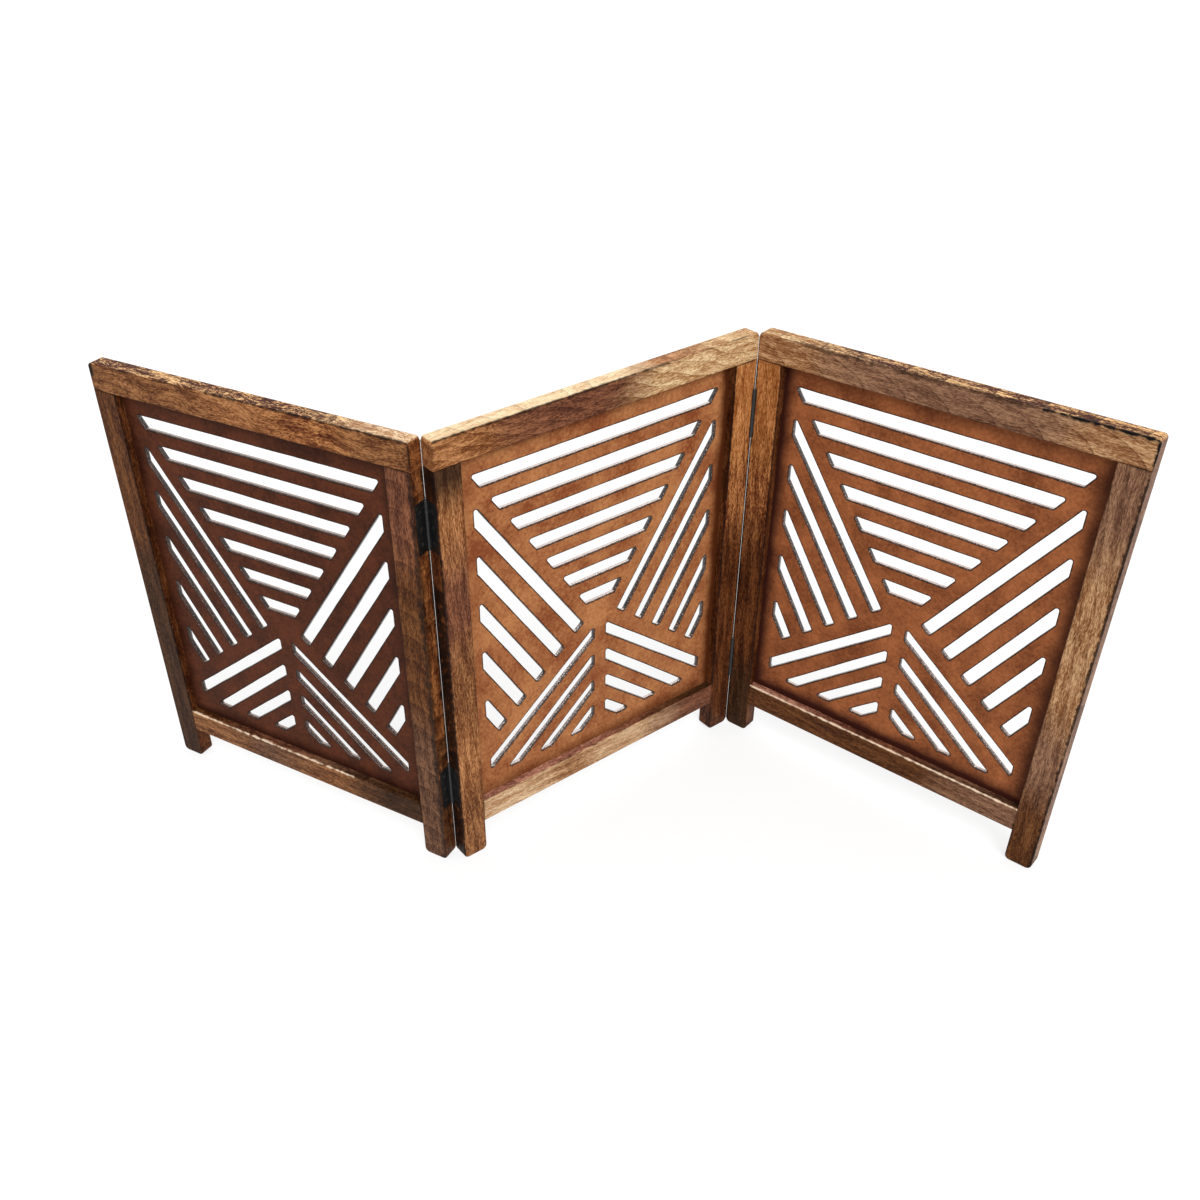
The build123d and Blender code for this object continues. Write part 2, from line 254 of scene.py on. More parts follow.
def panel_places(sizes: ScreenSizes) -> dict[str, PanelPlace]:
    """Work out where the panels stand from the two folding joints.

    Args:
        sizes: The screen's sizes.

    Returns:
        The place of each panel, by its body's name.
    """
    joints = {joint["name"]: joint for joint in frame["joints"]}
    back = sizes.thickness + sizes.barrel_stand_off
    front = -sizes.barrel_stand_off
    near = -sizes.panel_gap / 2
    far = sizes.width + sizes.panel_gap / 2
    left_pivot = Vector(joints["left_fold"]["pos_m"]).xy
    right_pivot = Vector(joints["right_fold"]["pos_m"]).xy
    row = right_pivot - left_pivot
    own = Vector((far - near, front - back))
    middle = math.atan2(row.y, row.x) - math.atan2(own.y, own.x)

    def place(name: str, heading: float, pivot: Vector, u: float, v: float) -> PanelPlace:
        """Place a panel by its heading and by where its own point (u, v) is."""
        corner = pivot - Matrix.Rotation(heading, 2) @ Vector((u * MM, v * MM))
        return PanelPlace(name, heading, corner.to_3d())

    left = middle + math.radians(joints["left_fold"]["range_deg"][0])
    right = middle + math.radians(joints["right_fold"]["range_deg"][0])
    return {
        "left_panel": place("left_panel", left, left_pivot, far, back),
        "middle_panel": place("middle_panel", middle, left_pivot, near, back),
        "right_panel": place("right_panel", right, right_pivot, near, front),
    }


# ---------------------------------------------------------------- wood of the frames

class Grain(Enum):
    """Direction of a member's grain, as the order of its along, across and through axes."""

    LEVEL = ("X", "Z", "Y")
    UPRIGHT = ("Z", "X", "Y")


class Tone(Enum):
    """Pale and dark colour of stained mango wood where it took the stain in one way."""

    CREAM = ("#FDEAC2", "#D6AC80")
    HONEY = ("#F6DAAC", "#9C683C")
    WHEAT = ("#F2D4AE", "#AC7C54")
    STRAW = ("#DDB285", "#7A4A2A")
    GOLD = ("#CC9160", "#66371A")
    AMBER = ("#D4945A", "#421708")
    TAN = ("#B37D50", "#4C2712")
    OLIVE = ("#AC8264", "#5A3A2B")
    UMBER = ("#82532F", "#371A09")
    RUSSET = ("#BB7844", "#431D0B")
    PLUM = ("#9A6446", "#48271C")
    COFFEE = ("#563720", "#201006")
    MAHOGANY = ("#7C4A28", "#2C1005")
    SALMON = ("#F7C88C", "#3C1204")
    ROSE = ("#D49E84", "#6A3A2C")
    APRICOT = ("#DE9E64", "#84481E")
    WALNUT = ("#8A6248", "#3E261A")


@dataclass(frozen=True)
class Mark:
    """A burnt mark, a painted shade or a painted highlight around a box of the panel, from its low
    corner to its high one.

    A box with no size is a point, and one with a single length is a line.
    """

    low: Triple
    high: Triple
    reach: float
    strength: float = 1.0
    ragged: float = 1.0


@dataclass(frozen=True)
class GrowthRings:
    """Growth rings where they come out on a member's faces.

    The rings' own coordinate grows by `along` for a millimetre along the member, by `across`
    for one across it and by `bow` times the square of the distance from the middle. Each ring
    darkens by `shade` and ends in a line of strength `line`.
    """

    spacing: float = 15.0
    along: float = 0.12
    across: float = 1.0
    bow: float = 0.0
    line: float = 0.3
    shade: float = 0.2
    line_width: float = 2.2


@dataclass(frozen=True)
class Streaks:
    """One pattern of the wood's figure, with its length and width in millimetres.

    Its noise runs from dark to pale within `spread` of the middle value, and `weight` is its
    part in the figure.
    """

    length: float
    width: float
    detail: float
    roughness: float
    spread: float
    weight: float


@dataclass(frozen=True)
class MangoWood:
    """Mango wood, planed, stained by hand, singed along its arrises and lacquered.

    It gives the eye a busy figure of pale and dark flecks on wandering bands, thin dark veins
    and a soft gloss over it. Faces that look up take their own tones with the sky's sheen on
    the lacquer painted in, and some arrises carry painted highlights and others painted shade.
    """

    name: str
    grain: Grain
    low: Triple
    high: Triple
    tones: tuple[Tone, ...]
    # Tones of the faces that look up: the wood's colour with a painted sheen of the sky on its
    # lacquer.
    top_tones_and_sheen: tuple[Tone, ...]
    seed: int
    upper_contrast: float = 1.0
    upper_shift: float = 0.0
    side_tone: Tone | None = None
    # Burnt marks, and painted shade on the edge faces and arrises deep in the left fold.
    scorches_and_shade: tuple[Mark, ...] = ()
    # Painted highlights: pale lines along arrises that stand in for the sky's reflection on the
    # lacquer.
    painted_highlights: tuple[Mark, ...] = ()
    rings: GrowthRings = GrowthRings()
    band: Streaks = Streaks(70.0, 8.0, detail=3.0, roughness=0.5, spread=0.16, weight=0.55)

    # Fibre bundles and pores of mango wood. They are drawn two or three times as coarse as
    # they are, because the real ones are too fine to show.
    fleck: Streaks = Streaks(5.5, 1.5, detail=4.0, roughness=0.8, spread=0.11, weight=0.75)
    fibre: Streaks = Streaks(14.0, 0.9, detail=2.0, roughness=0.6, spread=0.14, weight=0.4)

    # How far the figure leans to the dark colour, how far it swirls, and the lengths over
    # which it turns and the stain changes.
    lean: float = 0.31
    swirl: float = 2.0
    turn_length: float = 55.0
    tone_patch: float = 60.0
    tone_wander: float = 0.24

    # Depth below a member's end at which the side's tone starts and at which it is full.
    side_skin: tuple[float, float] = (1.3, 0.4)
    pore_share: float = 0.14
    pore_strength: float = 0.4
    grain_depth: float = 0.25
    roughness: tuple[float, float] = (0.55, 0.38)

    singed_reach: float = 2.2
    singed_patch: float = 38.0
    singed_strength: float = 0.75
    smoke_patch: float = 9.0
    scorch_and_shade_colour: str = "#0E0908"
    highlight_colour: str = "#FBE0C2"
    line_colour: str = "#24120A"

    def material(self, place: PanelPlace) -> bpy.types.Material:
        """Make the member's material on its panel.

        Args:
            place: Where the panel stands.

        Returns:
            The finished material.
        """
        material, add = new_material(self.name)
        point = place.point_in_millimetres(add)
        grain = self._grain_point(add, point)
        phase = self._ring_phase(add, grain)
        figure, fleck, fibre = self._figure(add, grain, phase)
        blotch = add(
            "ShaderNodeTexNoise",
            {"Vector": grain, "Scale": 1 / self.tone_patch, "Detail": 3.0, "Roughness": 0.6},
        )
        colour = self._stain(add, point, figure, blotch)
        lines = self._lines(add, phase, fibre)
        colour = add(
            "ShaderNodeMix",
            {"Factor": lines, "A": colour, "B": linear(self.line_colour)},
            data_type="RGBA",
        )
        singed = self._singed(add, point)
        # Burnt arrises and marks, with painted shade deep in the left fold.
        burnt_and_shaded = self._marked(add, point, self.scorches_and_shade, singed)
        colour = add(
            "ShaderNodeMix",
            {"Factor": burnt_and_shaded, "A": colour, "B": linear(self.scorch_and_shade_colour)},
            data_type="RGBA",
        )
        # Painted highlight: a pale line that stands in for the sky's reflection on the lacquered
        # ledge.
        if self.painted_highlights:
            rubbed = self._marked(add, point, self.painted_highlights, 0.0)
            colour = add(
                "ShaderNodeMix",
                {"Factor": rubbed, "A": colour, "B": linear(self.highlight_colour)},
                data_type="RGBA",
            )
        in_dark, in_pale = self.roughness
        roughness = add(
            "ShaderNodeMapRange", {"Value": fleck, "To Min": in_dark, "To Max": in_pale}
        )
        height = add("ShaderNodeMath", {0: fibre, 1: 0.6, 2: fleck}, operation="MULTIPLY_ADD")
        bump = add(
            "ShaderNodeBump",
            {"Strength": 0.4, "Distance": self.grain_depth * MM, "Height": height},
        )
        shader = add(
            "ShaderNodeBsdfPrincipled",
            {
                "Base Color": colour,
                "Roughness": roughness,
                "IOR": LACQUER_IOR,
                "Specular IOR Level": LACQUER_SHINE,
                "Normal": bump,
            },
        )
        add("ShaderNodeOutputMaterial", {"Surface": shader})
        return material

    @property
    def _away(self) -> Triple:
        """Shift that gives the member its own part of each noise."""
        return self.seed * 911.0, self.seed * 373.0, self.seed * 157.0

    def _grain_point(self, add: Add, point: bpy.types.Node) -> bpy.types.Node:
        """Measure a point from the member's middle, along, across and through the grain.

        Args:
            add: The function that adds nodes.
            point: The point on the panel.

        Returns:
            The node with the point, which swirls as the grain does.
        """
        centred = add(
            "ShaderNodeVectorMath",
            {0: point, 1: (Vector(self.low) + Vector(self.high)) / 2},
            operation="SUBTRACT",
        )
        parts = add("ShaderNodeSeparateXYZ", {"Vector": centred})
        along, across, through = (parts.outputs[axis] for axis in self.grain.value)
        turned = add("ShaderNodeCombineXYZ", {"X": along, "Y": across, "Z": through})
        shifted = add("ShaderNodeVectorMath", {0: turned, 1: self._away}, operation="ADD")
        wander = add(
            "ShaderNodeTexNoise",
            {"Vector": shifted, "Scale": 1 / self.turn_length, "Detail": 0.6},
        )
        drift = add(
            "ShaderNodeVectorMath",
            {0: wander.outputs["Color"], 1: (0.5, 0.5, 0.5)},
            operation="SUBTRACT",
        )
        reach = (self.swirl, 4 * self.swirl, 4 * self.swirl)
        return add(
            "ShaderNodeVectorMath", {0: drift, 1: reach, 2: turned}, operation="MULTIPLY_ADD"
        )

    def _ring_phase(self, add: Add, grain: bpy.types.Node) -> bpy.types.Node:
        """Tell how far a point is through its growth ring.

        Args:
            add: The function that adds nodes.
            grain: The point along, across and through the grain.

        Returns:
            A node that runs from 0 at the ring's start to 1 at its dark end.
        """
        parts = add("ShaderNodeSeparateXYZ", {"Vector": grain})
        along, across = parts.outputs["X"], parts.outputs["Y"]
        bowed = add(
            "ShaderNodeMath",
            {0: across, 1: self.rings.bow, 2: self.rings.across},
            operation="MULTIPLY_ADD",
        )
        bowed = add("ShaderNodeMath", {0: bowed, 1: across}, operation="MULTIPLY")
        ring = add(
            "ShaderNodeMath", {0: along, 1: self.rings.along, 2: bowed}, operation="MULTIPLY_ADD"
        )
        count = add("ShaderNodeMath", {0: ring, 1: self.rings.spacing}, operation="DIVIDE")
        return add("ShaderNodeMath", {0: count}, operation="FRACT")

    def _figure(
        self, add: Add, grain: bpy.types.Node, phase: bpy.types.Node
    ) -> tuple[bpy.types.Node, ...]:
        """Make the wood's figure from its three patterns of streaks.

        Args:
            add: The function that adds nodes.
            grain: The point along, across and through the grain.
            phase: How far the point is through its growth ring.

        Returns:
            The figure, the flecks and the fibres, each from 0 in the dark to 1 in the pale.
        """
        ends = self.rings.shade / 2
        figure = add(
            "ShaderNodeMapRange",
            {"Value": phase, "To Min": ends - self.lean, "To Max": -ends - self.lean},
        )
        patterns = []
        shifted = add("ShaderNodeVectorMath", {0: grain, 1: self._away}, operation="ADD")
        for streaks in (self.fleck, self.band, self.fibre):
            shares = (1 / streaks.length, 1 / streaks.width, 1 / streaks.width)
            stretched = add("ShaderNodeVectorMath", {0: shifted, 1: shares}, operation="MULTIPLY")
            pattern = add(
                "ShaderNodeTexNoise",
                {
                    "Vector": stretched,
                    "Scale": 1.0,
                    "Detail": streaks.detail,
                    "Roughness": streaks.roughness,
                },
            )
            pattern = add(
                "ShaderNodeMapRange",
                {
                    "Value": pattern,
                    "From Min": 0.5 - streaks.spread,
                    "From Max": 0.5 + streaks.spread,
                },
            )
            figure = add(
                "ShaderNodeMath",
                {0: pattern, 1: streaks.weight, 2: figure},
                operation="MULTIPLY_ADD",
            )
            patterns.append(pattern)
        fleck, _, fibre = patterns
        return add("ShaderNodeClamp", {"Value": figure}), fleck, fibre

    def _stain(
        self, add: Add, point: bpy.types.Node, figure: bpy.types.Node, blotch: bpy.types.Node
    ) -> bpy.types.Node:
        """Colour the figure by the member's tones, from its start to its end, with painted sheen on
        faces that look up.

        Args:
            add: The function that adds nodes.
            point: The point on the panel.
            figure: The wood's figure.
            blotch: The noise that shifts the tones along the member.

        Returns:
            The node with the stained wood's colour.
        """
        parts = add("ShaderNodeSeparateXYZ", {"Vector": point})
        axis = self.grain.value[0]
        number = "XYZ".index(axis)
        share = add(
            "ShaderNodeMapRange",
            {
                "Value": parts.outputs[axis],
                "From Min": self.low[number],
                "From Max": self.high[number],
                "To Min": -self.tone_wander / 2,
                "To Max": 1 - self.tone_wander / 2,
            },
        )
        share = add(
            "ShaderNodeMath", {0: blotch, 1: self.tone_wander, 2: share}, operation="MULTIPLY_ADD"
        )
        stained = self._toned(add, share, figure, self.tones)
        lift = self.upper_shift + 0.5 - 0.5 * self.upper_contrast
        lifted = add(
            "ShaderNodeMath",
            {0: figure, 1: self.upper_contrast, 2: lift},
            operation="MULTIPLY_ADD",
            use_clamp=True,
        )
        top_with_sheen = self._toned(add, share, lifted, self.top_tones_and_sheen)
        # Faces that look up take their own tones, which paint in the sky's sheen on the lacquer.
        coordinates = add("ShaderNodeTexCoord")
        facing = add("ShaderNodeSeparateXYZ", {"Vector": coordinates.outputs["Normal"]})
        is_top_for_sheen = add(
            "ShaderNodeMapRange",
            {"Value": facing.outputs["Z"], "From Min": 0.6, "From Max": 0.95},
            interpolation_type="SMOOTHSTEP",
        )
        if self.side_tone:
            middle = (self.low[0] + self.high[0]) / 2
            reach = (self.high[0] - self.low[0]) / 2
            starts, full = self.side_skin
            off_middle = add(
                "ShaderNodeMath", {0: parts.outputs["X"], 1: middle}, operation="SUBTRACT"
            )
            off_middle = add("ShaderNodeMath", {0: off_middle}, operation="ABSOLUTE")
            is_side = add(
                "ShaderNodeMapRange",
                {"Value": off_middle, "From Min": reach - starts, "From Max": reach - full},
                interpolation_type="SMOOTHSTEP",
            )
            side = self._toned(add, share, figure, (self.side_tone,))
            stained = add(
                "ShaderNodeMix", {"Factor": is_side, "A": stained, "B": side}, data_type="RGBA"
            )
        return add(
            "ShaderNodeMix", {"Factor": is_top_for_sheen, "A": stained, "B": top_with_sheen}, data_type="RGBA"
        )

    @staticmethod
    def _toned(
        add: Add, share: bpy.types.Node, figure: bpy.types.Node, tones: tuple[Tone, ...]
    ) -> bpy.types.Node:
        """Colour the figure by tones that follow each other along the member.

        Args:
            add: The function that adds nodes.
            share: Place along the member, from 0 to 1.
            figure: The wood's figure.
            tones: The tones in order.

        Returns:
            The node with the colour.
        """
        sides = []
        for side in (0, 1):
            ramp = add("ShaderNodeValToRGB", {"Fac": share})
            ramp.color_ramp.interpolation = "EASE"
            stops = [((n + 0.5) / len(tones), tone.value[side]) for n, tone in enumerate(tones)]
            set_stops(ramp, stops)
            sides.append(add("ShaderNodeGamma", {"Color": ramp.outputs["Color"], "Gamma": 0.25}))
        # A stain takes light away by a ratio, so its middle tones are deeper than an even mix.
        mixed = add(
            "ShaderNodeMix", {"Factor": figure, "A": sides[1], "B": sides[0]}, data_type="RGBA"
        )
        return add("ShaderNodeGamma", {"Color": mixed, "Gamma": 4.0})

    def _lines(self, add: Add, phase: bpy.types.Node, fibre: bpy.types.Node) -> bpy.types.Node:
        """Make the mask of the dark ring lines and of the open pores.

        Args:
            add: The function that adds nodes.
            phase: How far the point is through its growth ring.
            fibre: The pattern of the fibres.

        Returns:
            The node with the mask.
        """
        line = add(
            "ShaderNodeMapRange",
            {
                "Value": phase,
                "From Min": 1.0 - self.rings.line_width / self.rings.spacing,
                "From Max": 1.0,
                "To Max": self.rings.line,
            },
        )
        pores = add(
            "ShaderNodeMapRange",
            {
                "Value": fibre,
                "From Min": self.pore_share,
                "From Max": 0.0,
                "To Max": self.pore_strength,
            },
        )
        return add("ShaderNodeMath", {0: line, 1: pores}, operation="MAXIMUM")

    def _singed(self, add: Add, point: bpy.types.Node) -> bpy.types.Node:
        """Make the mask of the arrises, singed in patches.

        Args:
            add: The function that adds nodes.
            point: The point on the panel.

        Returns:
            The node with the mask.
        """
        low, high = Vector(self.low), Vector(self.high)
        off_centre = add(
            "ShaderNodeVectorMath", {0: point, 1: (low + high) / 2}, operation="SUBTRACT"
        )
        size = add("ShaderNodeVectorMath", {0: off_centre}, operation="ABSOLUTE")
        depth = add(
            "ShaderNodeVectorMath", {0: (high - low) / 2, 1: size}, operation="SUBTRACT"
        )
        parts = add("ShaderNodeSeparateXYZ", {"Vector": depth})
        x, y, z = (parts.outputs[axis] for axis in "XYZ")
        # The middle one of the three depths is the distance to the nearest arris.
        lesser = add("ShaderNodeMath", {0: x, 1: y}, operation="MINIMUM")
        greater = add("ShaderNodeMath", {0: x, 1: y}, operation="MAXIMUM")
        third = add("ShaderNodeMath", {0: greater, 1: z}, operation="MINIMUM")
        arris = add("ShaderNodeMath", {0: lesser, 1: third}, operation="MAXIMUM")
        patch = add(
            "ShaderNodeTexNoise",
            {"Vector": point, "Scale": 1 / self.singed_patch, "Detail": 3.0},
        )
        presence = add(
            "ShaderNodeMapRange",
            {
                "Value": patch,
                "From Min": 0.4,
                "From Max": 0.62,
                "To Max": self.singed_strength,
            },
        )
        edge = add(
            "ShaderNodeMapRange",
            {"Value": arris, "From Min": self.singed_reach, "From Max": 0.5},
            interpolation_type="SMOOTHSTEP",
        )
        return add("ShaderNodeMath", {0: edge, 1: presence}, operation="MULTIPLY")

    def _marked(
        self,
        add: Add,
        point: bpy.types.Node,
        marks: tuple[Mark, ...],
        mask: bpy.types.Node | float,
    ) -> bpy.types.Node | float:
        """Add marks with ragged borders to a mask.

        Args:
            add: The function that adds nodes.
            point: The point on the panel.
            marks: The marks.
            mask: The mask so far, or its value where it has no nodes yet.

        Returns:
            The mask with the marks on it.
        """
        smoke = add(
            "ShaderNodeTexNoise", {"Vector": point, "Scale": 1 / self.smoke_patch, "Detail": 4.0}
        )
        smoke = add("ShaderNodeMapRange", {"Value": smoke, "From Min": 0.34, "From Max": 0.66})
        for mark in marks:
            above = add("ShaderNodeVectorMath", {0: point, 1: mark.low}, operation="MAXIMUM")
            nearest = add("ShaderNodeVectorMath", {0: above, 1: mark.high}, operation="MINIMUM")
            distance = add("ShaderNodeVectorMath", {0: point, 1: nearest}, operation="DISTANCE")
            uneven = add(
                "ShaderNodeMath",
                {0: smoke, 1: 2 * mark.ragged, 2: distance},
                operation="MULTIPLY_ADD",
            )
            spread = add(
                "ShaderNodeMapRange",
                {
                    "Value": uneven,
                    "From Min": mark.reach + mark.ragged,
                    "From Max": mark.reach / 8 + mark.ragged,
                    "To Max": mark.strength,
                },
                interpolation_type="SMOOTHSTEP",
            )
            mask = add("ShaderNodeMath", {0: mask, 1: spread}, operation="MAXIMUM")
        return mask


# ---------------------------------------------------------------- the jali sheet

@dataclass(frozen=True)
class JaliBoard:
    """Hardboard, stained with a rag and lacquered, darkened with a spray along the frame.

    It gives the eye an even brown with soft clouds, a dark border and thin burnt slot edges.
    The border is partly that sprayed stain and partly painted shade of the frame over the recess.
    """

    name: str
    pale: str
    deep: str
    seed: int

    # Strength of the border at the left, right, bottom and top, and its colour and widths. The
    # border is part stain, part painted shade.
    borders: tuple[float, float, float, float]
    border_stain_and_shade_colour: str
    border_reach: float = 20.0
    border_core: float = 5.0
    border_wander: float = 12.0

    # The burnt line fades from char_start to char_end, less up to char_ragged.
    char_colour: str = "#150D0B"
    char_start: float = 1.2
    char_end: float = 2.9
    char_ragged: float = 1.6

    # Clouds of stain, and clumps of pressed fibre that are drawn some four times too coarse.
    cloud_size: float = 45.0
    fibre_size: float = 4.5
    fibre_depth: float = 0.1

    def material(self, place: PanelPlace, sizes: ScreenSizes) -> bpy.types.Material:
        """Make the sheet's face material.

        Args:
            place: Where the panel stands.
            sizes: The screen's sizes, for the opening that the border follows.

        Returns:
            The finished material.
        """
        material, add = new_material(self.name)
        point = place.point_in_millimetres(add)
        away = (self.seed * 613.0, self.seed * 271.0, self.seed * 97.0)
        shifted = add("ShaderNodeVectorMath", {0: point, 1: away}, operation="ADD")
        clouds = add(
            "ShaderNodeTexNoise",
            {"Vector": shifted, "Scale": 1 / self.cloud_size, "Detail": 6.0, "Roughness": 0.62},
        )
        fibres = add(
            "ShaderNodeTexNoise",
            {"Vector": shifted, "Scale": 1 / self.fibre_size, "Detail": 3.0, "Roughness": 0.7},
        )
        stain = add("ShaderNodeMath", {0: fibres, 1: 0.7, 2: clouds}, operation="MULTIPLY_ADD")
        depth = add(
            "ShaderNodeMapRange", {"Value": stain, "From Min": 0.66, "From Max": 1.04}
        )
        colour = add(
            "ShaderNodeMix",
            {"Factor": depth, "A": linear(self.deep), "B": linear(self.pale)},
            data_type="RGBA",
        )
        # Dark border along the frame: part stain, part painted shade of the frame over the recess.
        border_stain_and_shade = self._border_stain_and_shade(add, point, clouds, sizes)
        colour = add(
            "ShaderNodeMix",
            {"Factor": border_stain_and_shade, "A": colour, "B": linear(self.border_stain_and_shade_colour)},
            data_type="RGBA",
        )
        char = self._char(add, fibres)
        colour = add(
            "ShaderNodeMix",
            {"Factor": char, "A": colour, "B": linear(self.char_colour)},
            data_type="RGBA",
        )
        roughness = add("ShaderNodeMapRange", {"Value": clouds, "To Min": 0.4, "To Max": 0.6})
        bump = add(
            "ShaderNodeBump",
            {"Strength": 0.15, "Distance": self.fibre_depth * MM, "Height": fibres},
        )
        shader = add(
            "ShaderNodeBsdfPrincipled",
            {
                "Base Color": colour,
                "Roughness": roughness,
                "IOR": LACQUER_IOR,
                "Specular IOR Level": LACQUER_SHINE,
                "Normal": bump,
            },
        )
        add("ShaderNodeOutputMaterial", {"Surface": shader})
        return material

    def _border_stain_and_shade(
        self, add: Add, point: bpy.types.Node, clouds: bpy.types.Node, sizes: ScreenSizes
    ) -> bpy.types.Node:
        """Make the mask of the dark border along the frame's inner edges: part stain, part painted
        shade of the frame over the recess.

        Args:
            add: The function that adds nodes.
            point: The point on the panel.
            clouds: The noise that makes the border wander.
            sizes: The screen's sizes, for the opening.

        Returns:
            The node with the mask.
        """
        left, right, bottom, top = sizes.opening
        edges = (("X", left, 1.0), ("X", right, -1.0), ("Z", bottom, 1.0), ("Z", top, -1.0))
        parts = add("ShaderNodeSeparateXYZ", {"Vector": point})
        mask = None
        for (axis, edge, inward), strength in zip(edges, self.borders):
            inside = add(
                "ShaderNodeMath",
                {0: parts.outputs[axis], 1: inward, 2: -edge * inward},
                operation="MULTIPLY_ADD",
            )
            uneven = add(
                "ShaderNodeMath",
                {0: clouds, 1: self.border_wander, 2: inside},
                operation="MULTIPLY_ADD",
            )
            shade = add(
                "ShaderNodeMapRange",
                {
                    "Value": uneven,
                    "From Min": self.border_reach + self.border_wander / 2,
                    "From Max": self.border_core,
                    "To Max": strength,
                },
                interpolation_type="SMOOTHSTEP",
            )
            shade = add("ShaderNodeClamp", {"Value": shade})
            mask = shade if mask is None else add(
                "ShaderNodeMath", {0: mask, 1: shade}, operation="MAXIMUM"
            )
        return mask

    def _char(self, add: Add, fibres: bpy.types.Node) -> bpy.types.Node:
        """Make the mask of the burnt line that the saw left along each slot.

        Args:
            add: The function that adds nodes.
            fibres: The noise that makes the line ragged.

        Returns:
            The node with the mask.
        """
        distance = add("ShaderNodeAttribute", attribute_name=JaliSheet.DISTANCE)
        uneven = add(
            "ShaderNodeMath",
            {0: fibres, 1: self.char_ragged, 2: distance.outputs["Fac"]},
            operation="MULTIPLY_ADD",
        )
        return add(
            "ShaderNodeMapRange",
            {
                "Value": uneven,
                "From Min": self.char_end,
                "From Max": self.char_start,
                "To Max": 0.95,
            },
            interpolation_type="SMOOTHSTEP",
        )


@dataclass(frozen=True)
class SawnEdge:
    """Hardboard edge, sawn, burnt by the blade and flooded with lacquer.

    It gives the eye a near-black, rippled wall. Behind a ragged black line along the front lie
    pale torn fibres; they are drawn only where a wall faces up, as painted light on them.
    """

    name: str = "sawn_board_edge"
    dark: str = "#14100F"
    brown: str = "#4A2F22"
    # Pale torn fibre, shown only on walls that face up, where it is partly painted light.
    fibre: str = "#E4D2CA"
    burnt_line: float = 1.7

    # Ripples of the saw's teeth, scorched patches and tufts of fibre. The tufts are drawn
    # three times as coarse as they are, because the real ones are too fine to show. They also
    # break the painted light on walls that face up into glints.
    ripple: float = 1.8
    ripple_depth: float = 0.4
    scorched_patch: float = 14.0
    ragged: float = 3.6
    tuft: float = 1.3

    def material(self, place: PanelPlace, sizes: ScreenSizes) -> bpy.types.Material:
        """Make the material of the slots' walls on one panel.

        Args:
            place: Where the panel stands.
            sizes: The screen's sizes, for the sheet's front face.

        Returns:
            The finished material.
        """
        material, add = new_material(self.name)
        point = place.point_in_millimetres(add)
        ripples = add(
            "ShaderNodeTexNoise",
            {"Vector": point, "Scale": 1 / self.ripple, "Detail": 4.0, "Roughness": 0.7},
        )
        patches = add(
            "ShaderNodeTexNoise",
            {"Vector": point, "Scale": 1 / self.scorched_patch, "Detail": 2.0},
        )
        depth = add("ShaderNodeMath", {0: ripples, 1: patches}, operation="MULTIPLY")
        share = add("ShaderNodeMapRange", {"Value": depth, "From Min": 0.2, "From Max": 0.4})
        colour = add(
            "ShaderNodeMix",
            {"Factor": share, "A": linear(self.dark), "B": linear(self.brown)},
            data_type="RGBA",
        )
        # Walls that face up are painted paler behind the burnt line: torn fibres with painted light
        # on them.
        coordinates = add("ShaderNodeTexCoord")
        facing = add("ShaderNodeSeparateXYZ", {"Vector": coordinates.outputs["Normal"]})
        lit_from_above = add(
            "ShaderNodeMapRange",
            {"Value": facing.outputs["Z"], "From Min": 0.6, "From Max": 0.97},
        )
        parts = add("ShaderNodeSeparateXYZ", {"Vector": point})
        depth_in = add(
            "ShaderNodeMath",
            {0: ripples, 1: -self.ragged, 2: parts.outputs["Y"]},
            operation="MULTIPLY_ADD",
        )
        line_end = sizes.jali_recess + self.burnt_line - self.ragged / 2
        behind = add(
            "ShaderNodeMapRange",
            {"Value": depth_in, "From Min": line_end - 0.4, "From Max": line_end + 0.6},
        )
        bare_and_lit = add("ShaderNodeMath", {0: lit_from_above, 1: behind}, operation="MULTIPLY")
        tufts = add("ShaderNodeTexNoise", {"Vector": point, "Scale": 1 / self.tuft, "Detail": 2.0})
        bare_and_lit_share = add("ShaderNodeMath", {0: bare_and_lit, 1: 0.3, 2: tufts}, operation="MULTIPLY_ADD")
        torn_and_lit = add("ShaderNodeMapRange", {"Value": bare_and_lit_share, "From Min": 0.58, "From Max": 0.74})
        colour = add(
            "ShaderNodeMix",
            {"Factor": torn_and_lit, "A": colour, "B": linear(self.fibre)},
            data_type="RGBA",
        )
        roughness = add("ShaderNodeMapRange", {"Value": ripples, "To Min": 0.15, "To Max": 0.5})
        bump = add(
            "ShaderNodeBump",
            {"Strength": 0.6, "Distance": self.ripple_depth * MM, "Height": ripples},
        )
        shader = add(
            "ShaderNodeBsdfPrincipled",
            {
                "Base Color": colour,
                "Roughness": roughness,
                "IOR": 1.5,
                "Normal": bump,
                "Coat Weight": 0.3,
                "Coat Roughness": 0.2,
            },
        )
        add("ShaderNodeOutputMaterial", {"Surface": shader})
        return material


